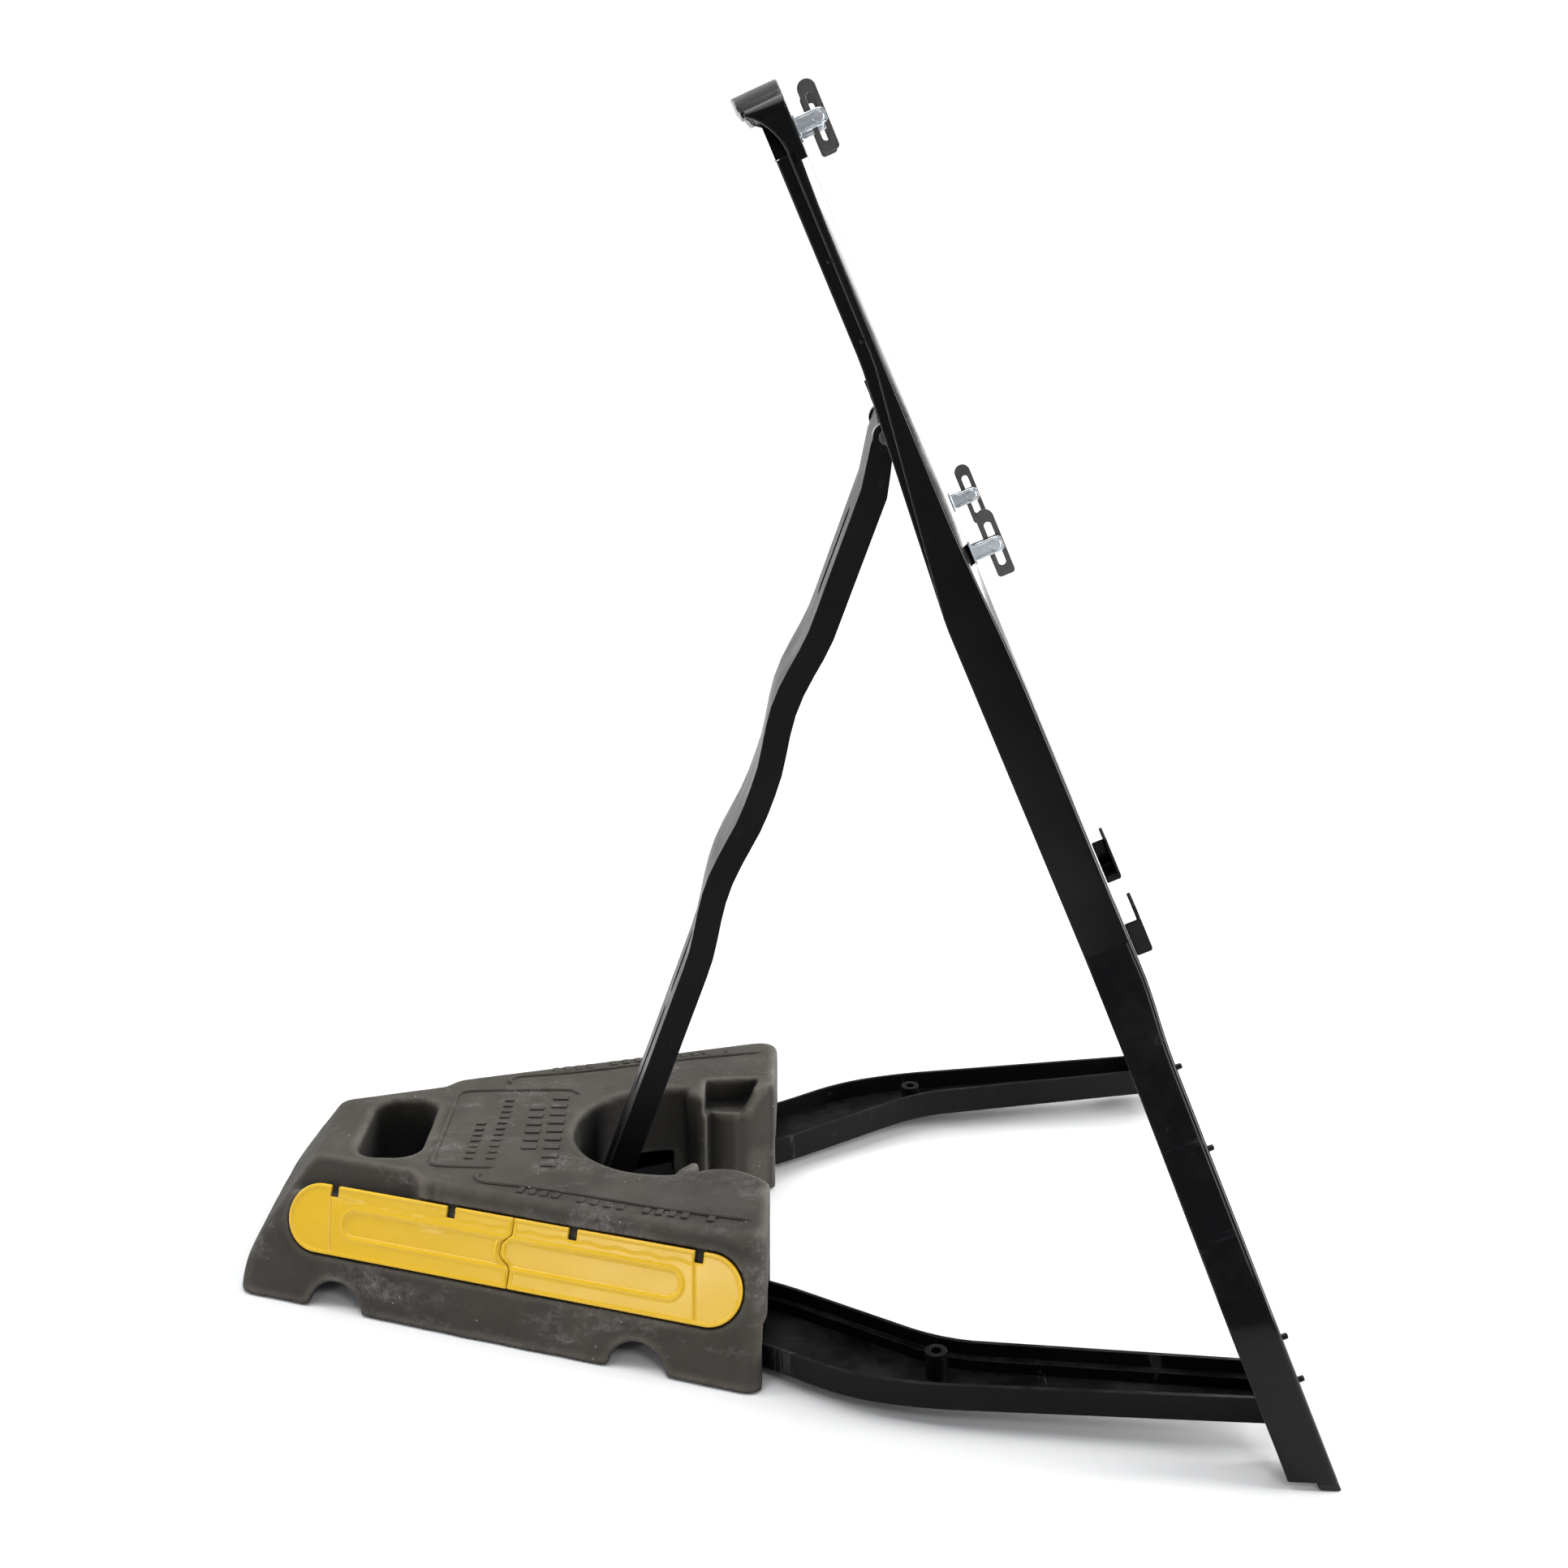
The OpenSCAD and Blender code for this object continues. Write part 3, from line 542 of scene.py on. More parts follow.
def build_ballast():
    step = 1.9
    pad = 3
    xs = np.arange(-WF - pad * step, WF + pad * step + step, step, dtype=np.float32)
    ks = np.arange(-6 - pad * step, L + pad * step + step, step, dtype=np.float32)
    zs = np.arange(-pad * step, H + pad * step + step, step, dtype=np.float32)
    X, K, Z = np.meshgrid(xs, ks, zs, indexing="ij")
    d = ballast_field(X, K, Z).astype(np.float32)
    v, q = surface_nets(d, (xs[0], ks[0], zs[0]), step)
    g = np.clip(d, -9, 9)
    rad = 3
    for ax in range(3):
        c = np.cumsum(np.concatenate([np.repeat(np.take(g, [0], ax), rad + 1, ax), g, np.repeat(np.take(g, [-1], ax), rad, ax)], ax), ax)
        n = g.shape[ax]
        g = (np.take(c, np.arange(2 * rad + 1, 2 * rad + 1 + n), ax) - np.take(c, np.arange(0, n), ax)) / (2 * rad + 1)
    pos = (v - np.array([xs[0], ks[0], zs[0]])) / step
    i0 = np.clip(np.floor(pos).astype(int), 0, np.array(d.shape) - 2)
    fr = np.clip(pos - i0, 0, 1)
    curve = np.zeros(len(v))
    for a in (0, 1):
        for b in (0, 1):
            for c in (0, 1):
                w = (fr[:, 0] if a else 1 - fr[:, 0]) * (fr[:, 1] if b else 1 - fr[:, 1]) * (fr[:, 2] if c else 1 - fr[:, 2])
                curve += w * g[i0[:, 0] + a, i0[:, 1] + b, i0[:, 2] + c]
    v[:, 0] = np.clip(v[:, 0], -WF - 1.5, WF + 1.5)
    v[:, 1] = np.clip(v[:, 1], -5.0, L - 0.05)
    v[:, 2] = np.clip(v[:, 2], 0.0, H - 0.05)
    v[:, 1] += BAL_Y
    me = mesh_from("ballast_skin", v / 1000, q)
    if len(me.vertices) == len(curve):
        at = me.attributes.new("convexity", "FLOAT", "POINT")
        at.data.foreach_set("value", curve.astype(np.float32))
    print("convexity", float(np.percentile(curve, 5)), float(np.percentile(curve, 50)), float(np.percentile(curve, 95)), float(np.percentile(curve, 99)))
    return me


ballast = put("ballast_skin", build_ballast(), M_BALLAST, "ballast", ("ballast_block",))


def bead(name, pts, r, flat, mat, body, closed=False):
    """A low raised line, half sunk in the surface, along points in row-frame mm."""
    pts = np.array(pts, float)
    n = len(pts)
    ring = 10
    tang = np.gradient(pts, axis=0)
    tang /= np.linalg.norm(tang, axis=1)[:, None]
    upv = np.array([0, 0, 1.0])
    sidev = np.cross(tang, upv)
    sidev /= np.linalg.norm(sidev, axis=1)[:, None]
    v = []
    for i in range(n):
        t = min(1.0, min(i, n - 1 - i) / 3.0 + 0.02)
        for j in range(ring):
            a = 2 * math.pi * j / ring
            v.append(pts[i] + sidev[i] * math.cos(a) * r * t + upv * math.sin(a) * flat * t)
    q = []
    for i in range(n - 1):
        for j in range(ring):
            q.append((i * ring + j, i * ring + (j + 1) % ring, (i + 1) * ring + (j + 1) % ring, (i + 1) * ring + j))
    bm = bmesh.new()
    vs = [bm.verts.new(Vector(p) / 1000) for p in v]
    for f in q:
        bm.faces.new([vs[i] for i in f])
    bm.faces.new([vs[j] for j in range(ring)])
    bm.faces.new([vs[(n - 1) * ring + j] for j in reversed(range(ring))])
    bmesh.ops.recalc_face_normals(bm, faces=bm.faces)
    me = bpy.data.meshes.new(name)
    bm.to_mesh(me)
    bm.free()
    return put(name, me, mat, body)


def curve_pts(ctrl, n):
    """Catmull-Rom through control points."""
    c = [np.array(p, float) for p in ctrl]
    c = [2 * c[0] - c[1]] + c + [2 * c[-1] - c[-2]]
    out = []
    m = len(c) - 3
    for i in range(m):
        p0, p1, p2, p3 = c[i:i + 4]
        k = max(2, n // m)
        for j in range(k + (i == m - 1)):
            t = j / k
            out.append(0.5 * ((2 * p1) + (-p0 + p2) * t + (2 * p0 - 5 * p1 + 4 * p2 - p3) * t * t + (-p0 + 3 * p1 - 3 * p2 + p3) * t ** 3))
    return np.array(out)


TOPZ = H - 0.5
for sx, nm in ((-1, "left"), (1, "right")):
    pts = curve_pts([(246, 88), (250, 95), (243, 103), (225, 107), (205, 111), (170, 120), (124, 134), (80, 147), (40, 157), (8, 164)], 90)
    bead("arm_line_" + nm, [(sx * p[1], BAL_Y + p[0], TOPZ) for p in pts], 2.3, 2.2, M_BALLAST, "ballast")
pts = curve_pts([(236, -77), (250, -77), (275, -76), (289, -74), (294, -66), (294, -30), (294, 30), (294, 60), (288, 70), (270, 73), (230, 75), (200, 76), (186, 74), (179, 66)], 120)
bead("top_border", [(p[1], BAL_Y + p[0], TOPZ) for p in pts], 2.3, 2.2, M_BALLAST, "ballast")


def bars(name, items):
    """Blank raised bars: (centre x, centre k, length, width, angle)."""
    bm = bmesh.new()
    for x, k, ln, wd, ang in items:
        ca, sa = math.cos(ang), math.sin(ang)
        ring_lo, ring_hi = [], []
        for (px, py) in ((-1, -1), (1, -1), (1, 1), (-1, 1)):
            for s, z, lst in ((1.0, TOPZ - 2.0, ring_lo), (0.80, TOPZ + 1.6, ring_hi)):
                lx, ly = px * (ln / 2 - (1 - s) * 2.4), py * (wd / 2 - (1 - s) * 2.4)
                lst.append(bm.verts.new(Vector((x + lx * ca - ly * sa, BAL_Y + k + lx * sa + ly * ca, z)) / 1000))
        bm.faces.new(ring_lo[::-1])
        bm.faces.new(ring_hi)
        for i in range(4):
            bm.faces.new((ring_lo[i], ring_lo[(i + 1) % 4], ring_hi[(i + 1) % 4], ring_hi[i]))
    bmesh.ops.bevel(bm, geom=[e for e in bm.edges], offset=0.0005, segments=2, profile=0.5, affect="EDGES")
    bmesh.ops.recalc_face_normals(bm, faces=bm.faces)
    me = bpy.data.meshes.new(name)
    bm.to_mesh(me)
    bm.free()
    return put(name, me, M_BALLAST, "ballast", smooth=False)


row = []
for k, x0, x1, n, ln in ((193, -80, 66, 9, 15), (213, -48, 44, 6, 14)):
    for i in range(n):
        x = x0 + (x1 - x0) * (i + 0.5) / n
        row.append((x, k + 0.04 * (x + 10), (x1 - x0) / n * 0.52, ln, 0.0))
for k, x0, x1, n, ln in ((243, -66, 58, 11, 9), (262, -66, 10, 7, 9)):
    for i in range(n):
        x = x0 + (x1 - x0) * (i + 0.5) / n
        row.append((x, k, (x1 - x0) / n * 0.5, ln, 0.0))
bars("top_bars", row)
for sx, nm in ((-1, "left"), (1, "right")):
    base = curve_pts([(212, 115), (170, 127), (124, 142), (80, 153), (36, 163)], 80)
    items = []
    n = 16
    for i in range(n):
        j = int((i + 0.5) / n * (len(base) - 1))
        p = base[j]
        t = base[min(j + 1, len(base) - 1)] - base[max(j - 1, 0)]
        ang = math.atan2(t[0], sx * t[1])
        if i % 5 == 4:
            continue
        items.append((sx * (p[1] + 1.5), p[0], 6.4, 9.0, ang))
    bars("arm_bars_" + nm, items)

# ------------------------------------------------------------- side panels
PC, PU, PL, PH = 238.0, 77.0, 424.0, 60.0


def panel_field(A, U, O, part):
    x, y = A - PC, U - PU
    out = box2(x, y, PL / 2 - 0.3, PH / 2 - 0.3, PH / 2 - 0.35)
    # height of the face above the side of the ballast, with a raised rim
    face = 0.35 + 0.75 * ss(-3.6, -2.4, out) - 0.7 * ss(-1.0, 0.0, out)
    # long pressed groove with a bevelled edge and a ridge round it
    g = box2(x, y + 0.5, 158, 11.5, 11.4)
    face = face - 2.4 * (1 - ss(-3.6, -0.6, g)) + 0.75 * (1 - ss(0, 2.4, np.abs(g - 1.5)))
    # lines that part off the round ends
    for s in (-1, 1):
        xe = x * s - 170 - 0.15 * s * y
        face = face - 0.9 * (1 - ss(0.3, 1.0, np.abs(xe))) * (out < -3.4)
        face = face - 0.3 * ss(0, 1, xe) * (out < -3.4)
    # faint scalloped band along the upper edge
    face = face - 0.45 * (1 - ss(0.3, 1.0, np.abs(y - 19.5 - 0.9 * np.sin(x / 4.2)))) * (np.abs(x) < 168)
    # cranked joint between the halves
    seam = -4 + 11 * ss(-14, -2, y) - 9 * ss(6, 16, y)
    sd = x - seam
    face = face - 1.0 * (1 - ss(0.2, 1.8, np.abs(sd)))
    lip = np.exp(-((np.abs(sd) - 3.6) / 1.6) ** 2)
    face = np.maximum(face, -0.9 + 1.7 * lip) * (np.abs(y) < 25) + face * (np.abs(y) >= 25)
    d = smax(out, O - face, 0.9)
    d = np.maximum(d, -3.2 - O)
    # snap notches in the upper edge
    for c in (-170.5, -57, 57, 170.5):
        n = np.maximum(np.abs(x - c + 0.0) - 4.0, 19.8 - y)
        d = smax(d, -n, 0.5)
    d = np.maximum(d, (sd + 0.18) if part == "front" else (-sd + 0.18))
    return d


def build_panel(side, part):
    step = 0.8
    a0, a1 = (PC - PL / 2 - 4, PC + 12) if part == "front" else (PC - 12, PC + PL / 2 + 4)
    A = np.arange(a0, a1, step, dtype=np.float32)
    U = np.arange(PU - PH / 2 - 3, PU + PH / 2 + 3, step, dtype=np.float32)
    os_ = 0.45
    O = np.arange(-4.4, 2.6, os_, dtype=np.float32)
    X, Y, Z = np.meshgrid(A, U, O, indexing="ij")
    d = panel_field(X, Y, Z, part)
    v, q = surface_nets(d, (0, 0, 0), 1.0)
    v = v * np.array([step, step, os_]) + np.array([A[0], U[0], O[0]])
    w = side_world(v[:, 0], v[:, 1], v[:, 2], side)
    if side < 0:
        q = q[:, ::-1]
    return mesh_from("panel", w, q)


for sx, nm in ((-1, "left"), (1, "right")):
    for part in ("front", "rear"):
        me = build_panel(sx, part)
        bm = bmesh.new()
        bm.from_mesh(me)
        bmesh.ops.recalc_face_normals(bm, faces=bm.faces)
        bm.to_mesh(me)
        bm.free()
        put(f"panel_{nm}_{part}_skin", me, M_YELLOW, "ballast", (f"panel_{nm}_{part}",))

# ------------------------------------------------- rounded frame mouldings
LEAN = math.radians(23.6)
CL, SL = math.cos(LEAN), math.sin(LEAN)
WALL, FOOT, SHANK, KNEE, TOPW = 3.6, 357, 338, 170, 114
SHANK_S, KNEE_S, TOP_S, CDEP = 160, 402, 1048, 39.0


def leaned(x, d, s):
    """Row-frame metres from across, depth and length along the leaning frame, mm."""
    return Vector((x / 1000, (-407 + SH + 0.0 + d * CL + s * SL) / 1000, (-d * SL + s * CL) / 1000))


def lerp(a, b, t):
    return a + (b - a) * t


def cl01(t):
    return max(0.0, min(1.0, t))


def raw_w(v):
    if v <= SHANK_S:
        return lerp(FOOT, SHANK, v / SHANK_S)
    if v <= KNEE_S:
        return lerp(SHANK, KNEE, (v - SHANK_S) / (KNEE_S - SHANK_S))
    return lerp(KNEE, TOPW, (v - KNEE_S) / (TOP_S - KNEE_S))


def fw(v):
    return sum(raw_w(v + o) for o in (-16, -8, 0, 8, 16)) / 5


def fi(v):
    return fw(v) - lerp(35, 28, cl01(v / KNEE_S))


def front_d(v):
    t = cl01((v - 318) / 60)
    return lerp(11, 4.5, cl01(v / 330)) * (1 - t * t * (3 - 2 * t))


def out_d(v):
    return lerp(CDEP, 13, cl01((v - 688) / 200)) if v > 688 else lerp(46, CDEP, cl01(v / 330))


def in_d(v):
    return lerp(CDEP, 23, cl01((v - 688) / 200)) if v > 688 else out_d(v)


def fillet(poly, radii, m=5):
    """Polygon with rounded corners, always the same number of points."""
    out = []
    n = len(poly)
    for i in range(n):
        p = Vector(poly[i]).to_2d()
        a = Vector(poly[i - 1]).to_2d() - p
        c = Vector(poly[(i + 1) % n]).to_2d() - p
        la, lc = a.length, c.length
        a.normalize()
        c.normalize()
        half = a.angle(c) / 2
        if half > math.pi / 2 - 0.02:
            t = min(2.0, la * 0.4, lc * 0.4)
            for k in range(m + 1):
                w = 2 * k / m - 1
                q = p + (a * (-w * t) if w < 0 else c * (w * t))
                out.append((q.x, q.y))
            continue
        t = min(radii[i] / math.tan(half), la * 0.49, lc * 0.49)
        r = t * math.tan(half)
        cen = p + (a + c).normalized() * (r / math.sin(half))
        s0 = p + a * t - cen
        s1 = p + c * t - cen
        ang = s0.angle_signed(s1)
        for k in range(m + 1):
            w = -ang * k / m
            out.append((cen.x + s0.x * math.cos(w) - s0.y * math.sin(w), cen.y + s0.x * math.sin(w) + s0.y * math.cos(w)))
    return out


def loft(bm, rings):
    vs = [[bm.verts.new(p) for p in r] for r in rings]
    n = len(vs[0])
    for a, b in zip(vs, vs[1:]):
        for k in range(n):
            bm.faces.new((a[k], a[(k + 1) % n], b[(k + 1) % n], b[k]))
    bm.faces.new(vs[0][::-1])
    bm.faces.new(vs[-1])


def slab(bm, p0, p1, conv, e=0.5):
    """Small plate with eased edges between two corners."""
    x0, d0, s0 = p0
    x1, d1, s1 = p1
    tmp = bmesh.new()
    bmesh.ops.create_cube(tmp, size=1)
    for v in tmp.verts:
        v.co = Vector((lerp(x0, x1, v.co.x + 0.5), lerp(d0, d1, v.co.y + 0.5), lerp(s0, s1, v.co.z + 0.5)))
    bmesh.ops.bevel(tmp, geom=list(tmp.edges), offset=e, segments=2, profile=0.5, affect="EDGES")
    vm = {v: bm.verts.new(conv(*v.co)) for v in tmp.verts}
    for f in tmp.faces:
        bm.faces.new([vm[v] for v in f.verts])
    tmp.free()


def peg(bm, c, axis, r, ln, conv, seg=20):
    """Turned stud with a rounded tip, axis 0, 1 or 2 of the local frame."""
    prof = [(r, 0.0), (r, ln * 0.7), (r * 0.92, ln * 0.88), (r * 0.65, ln * 0.98), (r * 0.25, ln)]
    rings = []
    for rr, h in prof:
        ring = []
        for k in range(seg):
            a = 2 * math.pi * k / seg
            q = [0, 0, 0]
            q[axis] = h
            q[(axis + 1) % 3] = rr * math.cos(a)
            q[(axis + 2) % 3] = rr * math.sin(a)
            ring.append(conv(c[0] + q[0], c[1] + q[1], c[2] + q[2]))
        rings.append(ring)
    loft(bm, rings)


def finish_mesh(bm, name):
    bmesh.ops.recalc_face_normals(bm, faces=bm.faces)
    me = bpy.data.meshes.new(name)
    bm.to_mesh(me)
    bm.free()
    return me


def auto_smooth(o, deg=38):
    """Shade smooth with hard edges kept where the surface turns sharply."""
    bm = bmesh.new()
    bm.from_mesh(o.data)
    for e in bm.edges:
        e.smooth = len(e.link_faces) == 2 and e.calc_face_angle(0.0) < math.radians(deg)
    for f in bm.faces:
        f.smooth = True
    bm.to_mesh(o.data)
    bm.free()


def channel_section(v):
    a, b, f0, do, di = fi(v), fw(v), front_d(v), out_d(v), in_d(v)
    w = WALL
    t = cl01((v - 600) / 170)
    e = 6.4 * t * t * (3 - 2 * t) - 2.0 * cl01((v - 1000) / 48) + 0.8 * cl01((v - 380) / 60)
    poly = [(a, di), (a, f0), (a + 9, f0), (b, f0 + e), (b, do), (b - w, do), (b - w, f0 + e + w), (a + 9, f0 + w), (a + w, f0 + w), (a + w, di)]
    return fillet(poly, [1.6, 4.0, 9.0, 5.0 - 0.25 * e, 1.7, 1.7, 3.0, 6.0, 2.5, 1.6])


for sgn, nm in ((-1, "left"), (1, "right")):
    def conv(x, d, v, k=sgn):
        return leaned(k * x, d, v)
    for part in ("leg", "upright"):
        bm = bmesh.new()
        if part == "upright":
            st = [KNEE_S + 0.2] + [v for v in np.arange(440, TOP_S - 4, 12.0)] + [TOP_S - 0.2]
            rings = [[conv(x, d, v) for x, d in channel_section(v)] for v in st]
            ribs = [(v, 11) for v in np.arange(470, 1000, 62)]
        else:
            st = [v for v in np.arange(30, KNEE_S - 6, 8.0)] + [KNEE_S - 0.2]
            rings = [[conv(x, d, v) for x, d in channel_section(v)] for v in st]
            foot = []
            for x, d in channel_section(14):
                v = (6.2 + d * SL) / CL
                foot.append(conv(x + (fw(v) - fw(14)), d, v))
            rings.insert(0, foot)
            ribs = [(v, 14) for v in np.arange(120, 381, 56)]
        loft(bm, rings)
        for v, dep in ribs:
            lift = 3.0 if part == "leg" else 8.4
            slab(bm, (fi(v) + 1.2, front_d(v) + lift, v), (fw(v + 3) - 2.0, front_d(v) + dep + lift - 3.0, v + 3), conv)
        if part == "leg":
            for v in (95, 131, 258, 312):
                peg(bm, (fw(v) - 9, front_d(v) + 1, v), 1, 2.4, -5.5, conv)
        o = put(f"{part}_{nm}_skin", finish_mesh(bm, f"{part}_{nm}_skin"), M_FRAME, "front_frame", (f"{part}_{nm}",))
        auto_smooth(o)


# Hooded handle: one band up each cheek and over the top, a front web and a turned-down lip
def arch(x):
    return 1088 + 17 * (1 - (x / 114) ** 2)


def grip(x):
    return 28 + 11 * (1 - min(1.0, (x / 114) ** 2))


R = 13.0
WT = fw(1075)
path = []
for v in np.arange(TOP_S - 7, 1092 - R, 5.0):
    path.append((-fw(v), v))
cy = arch(WT) - R + 1.0
for a in range(0, 91, 9):
    path.append((-WT + R - R * math.cos(math.radians(a)), cy + R * math.sin(math.radians(a))))
for x in np.linspace(-WT + R + 6, 0, 14):
    path.append((x, arch(x) - 0.6 * max(0.0, 1 - (x + WT - R) / 40)))
path = path + [(-x, v) for x, v in path[-2::-1]]
path = np.array(path)
tan = np.gradient(path, axis=0)
tan /= np.linalg.norm(tan, axis=1)[:, None]
nor = np.stack([-tan[:, 1], tan[:, 0]], 1)
bm = bmesh.new()
rings = []
for (x, v), (nx, nv) in zip(path, nor):
    if abs(x) > WT - R - 2 and v < 1100:
        t = cl01((v - TOP_S) / (cy + R * 0.75 - TOP_S))
        dep = 12.8 + 19.0 * t ** 2.2
    else:
        dep = grip(x) + 3.5 * cl01((abs(x) - 55) / 40)
    sec = fillet([(0, 0), (0, dep), (-4.2, dep), (-4.2, 0)], [4.0, 2.0, 2.0, 0.4])
    rings.append([leaned(x + nx * u, d, v + nv * u) for u, d in sec])
loft(bm, rings)
# front web
cols = np.linspace(-WT + 2.5, WT - 2.5, 41)
front, back, fb, bb = [], [], [], []
for x in cols:
    e = WT - 2.5 - abs(x)
    vt = arch(x) - 2.2 - (max(0.0, R - e) ** 2 / (2 * R) if e < R else 0.0)
    front.append(bm.verts.new(leaned(x, 0.25, vt)))
    back.append(bm.verts.new(leaned(x, 3.8, vt)))
    fb.append(bm.verts.new(leaned(x, 0.25, TOP_S - 1.5)))
    bb.append(bm.verts.new(leaned(x, 3.8, TOP_S - 1.5)))
for k in range(len(cols) - 1):
    bm.faces.new((fb[k], fb[k + 1], front[k + 1], front[k]))
    bm.faces.new((bb[k + 1], bb[k], back[k], back[k + 1]))
    bm.faces.new((front[k], front[k + 1], back[k + 1], back[k]))
    bm.faces.new((fb[k + 1], fb[k], bb[k], bb[k + 1]))
bm.faces.new((fb[0], front[0], back[0], bb[0]))
bm.faces.new((fb[-1], bb[-1], back[-1], front[-1]))
# turned-down rear lip
rings = []
for x in np.linspace(-WT + 9, WT - 9, 31):
    g, a = grip(x) + 3.5 * cl01((abs(x) - 55) / 40), arch(x)
    h = 12.5 * math.sqrt(max(0.05, 1 - (abs(x) / (WT - 6)) ** 6))
    sec = fillet([(g - 4.2, a - 2 - h), (g - 4.2, a - 2.5), (g - 0.2, a - 2.5), (g - 0.2, a - 2 - h)], [1.6, 0.5, 0.5, 1.6])
    rings.append([leaned(x, d, v) for d, v in sec])
loft(bm, rings)
# inner cheeks that carry on the inner flanges of the uprights
for k in (-1, 1):
    slab(bm, (k * fi(TOP_S), 3.4, TOP_S + 0.3), (k * (fi(TOP_S) + WALL), 23, arch(fi(TOP_S)) - 5), leaned, 1.0)
o = put("carry_handle_skin", finish_mesh(bm, "carry_handle_skin"), M_FRAME, "front_frame", ("carry_handle",))
auto_smooth(o)

for nd in ("lower_crossbar", "mid_crossbar", "sign_apron", "hinge_crossbar"):
    rounded(nd, M_FRAME, "front_frame", 0.0009)
for nd in ("sign_hook_left", "sign_hook_right"):
    rounded(nd, M_FRAME, "front_frame", 0.0010)
for nd in ("foot_pad_left", "foot_pad_right"):
    rounded(nd, M_FOOT, "front_frame", 0.0015)
rounded("prop_leg", M_PROP, "rear_prop", 0.0022, 4)
for nd in ("rail_left", "rail_right", "rear_crossbar"):
    rounded(nd, M_RAIL, "folding_base", 0.0010)
for k in ("tl", "tr", "ml", "mr"):
    rounded("clip_bracket_" + k, M_ZINC, "front_frame", 0.0003, 2)
    rounded("clip_rivet_" + k, M_ZINC, "front_frame", 0.0006, 3)
    rounded("clip_tongue_" + k, M_TONGUE, "tongue_" + k, 0.0003, 2)
for k, cx, ln, cs in (("tl", -100, 1063.9, -17.7), ("tr", 100, 1063.9, -17.7), ("ml", -123, 726, -19.2), ("mr", 123, 726, -19.2)):
    bm = bmesh.new()
    for e in (-1, 1):
        for v in (-5.0, 5.0):
            prof = []
            for t in np.linspace(0, 1, 9):
                r = 1.35 * math.sqrt(max(0.02, 1 - abs(2 * t - 1) ** 8))
                d = lerp(-1.4, cs - 4.4, t)
                prof.append([leaned(cx + e * 4.2 + r * math.cos(a), d, ln + v + r * math.sin(a)) for a in np.linspace(0, 2 * math.pi, 13)[:-1]])
            loft(bm, prof)
        # dished rivet head
        rings = []
        for r, h in ((4.3, 0.0), (4.5, 0.7), (4.0, 1.3), (3.1, 1.35), (2.2, 0.55), (1.2, 0.3)):
            rings.append([leaned(cx + e * (4.0 + h), cs + r * math.cos(a), ln + r * math.sin(a)) for a in np.linspace(0, 2 * math.pi, 21)[:-1]])
        loft(bm, rings)
    o = put("clip_rolls_" + k, finish_mesh(bm, "clip_rolls_" + k), M_ZINC, "front_frame")
    auto_smooth(o, 50)
bm = bmesh.new()
peg(bm, (-71.5, 26.3, 826.7), 0, 3.55, 143, leaned, 28)
peg(bm, (-71.5, 26.3, 826.7), 0, 6.4, -4.4, leaned, 28)
peg(bm, (71.5, 26.3, 826.7), 0, 6.4, 4.4, leaned, 28)
o = put("prop_pin_skin", finish_mesh(bm, "prop_pin_skin"), M_PIN, "front_frame", ("prop_pin",))
auto_smooth(o, 50)
for nd in ("hinge_bolt_left", "hinge_bolt_right"):
    rounded(nd, M_PIN, "front_frame", 0.0008, 3)

# ------------------------------------------------------- floor and lighting
bm = bmesh.new()
S = 30.0
bmesh.ops.create_grid(bm, x_segments=2, y_segments=2, size=S)
me = bpy.data.meshes.new("floor")
bm.to_mesh(me)
bm.free()
floor = bpy.data.objects.new("floor", me)
col.objects.link(floor)
m, nt, b = new_mat("floor_white")
n = NT(nt)
b.inputs["Base Color"].default_value = (0.82, 0.82, 0.82, 1)
b.inputs["Roughness"].default_value = 0.92
b.inputs["Specular IOR Level"].default_value = 0.1
# the sweep brightens away from the object, less so on the camera's side
ln = nt.nodes.new("ShaderNodeVectorMath")
ln.operation = "LENGTH"
n.link(n.obj, ln.inputs[0])
sx = nt.nodes.new("ShaderNodeSeparateXYZ")
n.link(n.obj, sx.inputs[0])
far = n.ramp(n.math("MULTIPLY", ln.outputs["Value"], 0.1), [(0.10, 0.0), (0.32, 1.0)])
azi = n.math("DIVIDE", sx.outputs["X"], n.math("ADD", ln.outputs["Value"], 0.2))
azr = n.ramp(n.math("ADD", n.math("MULTIPLY", azi, 0.5), 0.5), [(0.25, 0.20), (0.78, 1.0)])
n.link(n.math("MULTIPLY", far, azr), b.inputs["Emission Strength"])
b.inputs["Emission Color"].default_value = (1, 1, 1, 1)
me.materials.append(m)
floor.location = (0, 0, -0.0005)

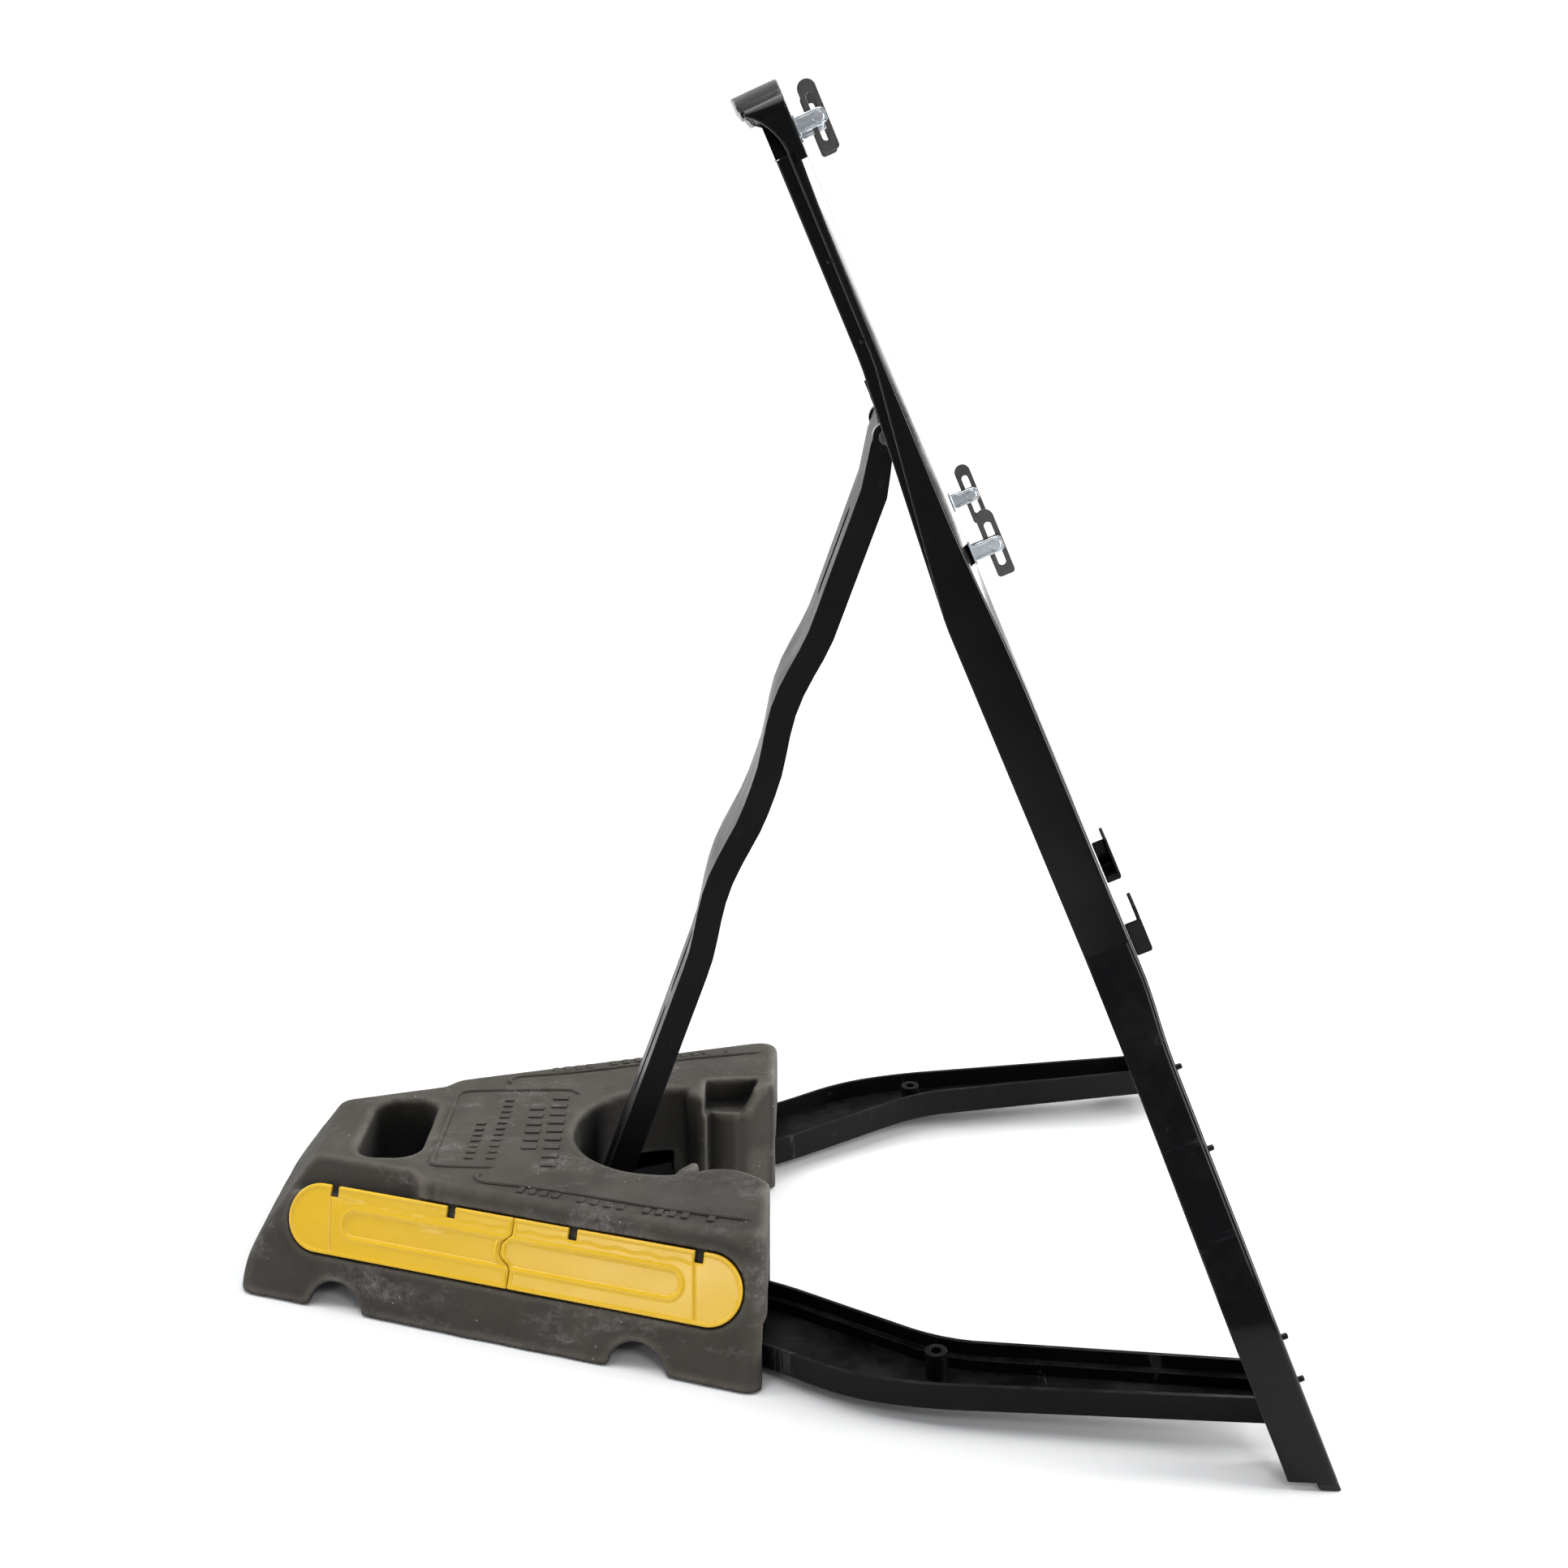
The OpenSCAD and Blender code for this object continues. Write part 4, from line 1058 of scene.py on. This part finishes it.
world = bpy.data.worlds.new("studio")
scene.world = world
world.use_nodes = True
wn = world.node_tree
wn.nodes.clear()
wo = wn.nodes.new("ShaderNodeOutputWorld")
bg = wn.nodes.new("ShaderNodeBackground")
tc = wn.nodes.new("ShaderNodeTexCoord")
sep = wn.nodes.new("ShaderNodeSeparateXYZ")
rp = wn.nodes.new("ShaderNodeValToRGB")
wn.links.new(tc.outputs["Generated"], sep.inputs[0])
wn.links.new(sep.outputs["Z"], rp.inputs[0])
el = rp.color_ramp.elements
el[0].position = 0.07
el[0].color = (1, 1, 1, 1)
el[1].position = 0.30
el[1].color = (0, 0, 0, 1)
ra = wn.nodes.new("ShaderNodeValToRGB")
ha = wn.nodes.new("ShaderNodeMath")
ha.operation = "MULTIPLY_ADD"
ha.inputs[1].default_value = 0.5
ha.inputs[2].default_value = 0.5
wn.links.new(sep.outputs["X"], ha.inputs[0])
wn.links.new(ha.outputs[0], ra.inputs[0])
ea = ra.color_ramp.elements
ea[0].position = 0.25
ea[0].color = (0.34, 0.34, 0.35, 1)
ea[1].position = 0.70
ea[1].color = (1.05, 1.05, 1.05, 1)
mx = wn.nodes.new("ShaderNodeMix")
mx.data_type = "RGBA"
mx.inputs[6].default_value = (0.26, 0.27, 0.285, 1)
wn.links.new(rp.outputs[0], mx.inputs[0])
wn.links.new(ra.outputs[0], mx.inputs[7])
wn.links.new(mx.outputs[2], bg.inputs[0])
bg.inputs[1].default_value = 1.0
wn.links.new(bg.outputs[0], wo.inputs[0])


def area(name, loc, target, size, energy, sy=None):
    ld = bpy.data.lights.new(name, "AREA")
    ld.shape = "RECTANGLE"
    ld.size = size
    ld.size_y = sy or size
    ld.energy = energy
    lo = bpy.data.objects.new(name, ld)
    col.objects.link(lo)
    lo.location = loc
    dirv = (Vector(target) - Vector(loc)).normalized()
    lo.rotation_mode = "QUATERNION"
    lo.rotation_quaternion = dirv.to_track_quat("-Z", "Y")
    return lo


area("key_top", (0.5, 0.3, 2.8), (0, 0.05, 0.2), 2.2, 68)
area("front_strip", (-0.3, -2.3, 1.05), (0, 0, 0.62), 0.9, 60, 1.7)
area("far_edge", (1.9, -1.5, 1.5), (0, 0, 0.75), 0.8, 55, 1.5)
area("rear_strip", (0.3, 2.5, 1.4), (0, 0, 0.6), 0.35, 22, 1.4)
area("panel_glow", (-1.95, 1.40, 0.72), (-0.2, 0.1, 0.07), 0.55, 6)
area("side_fill", (-2.4, -0.9, 2.5), (-0.1, 0.1, 0.2), 0.8, 17)
scene.view_settings.view_transform = "Standard"
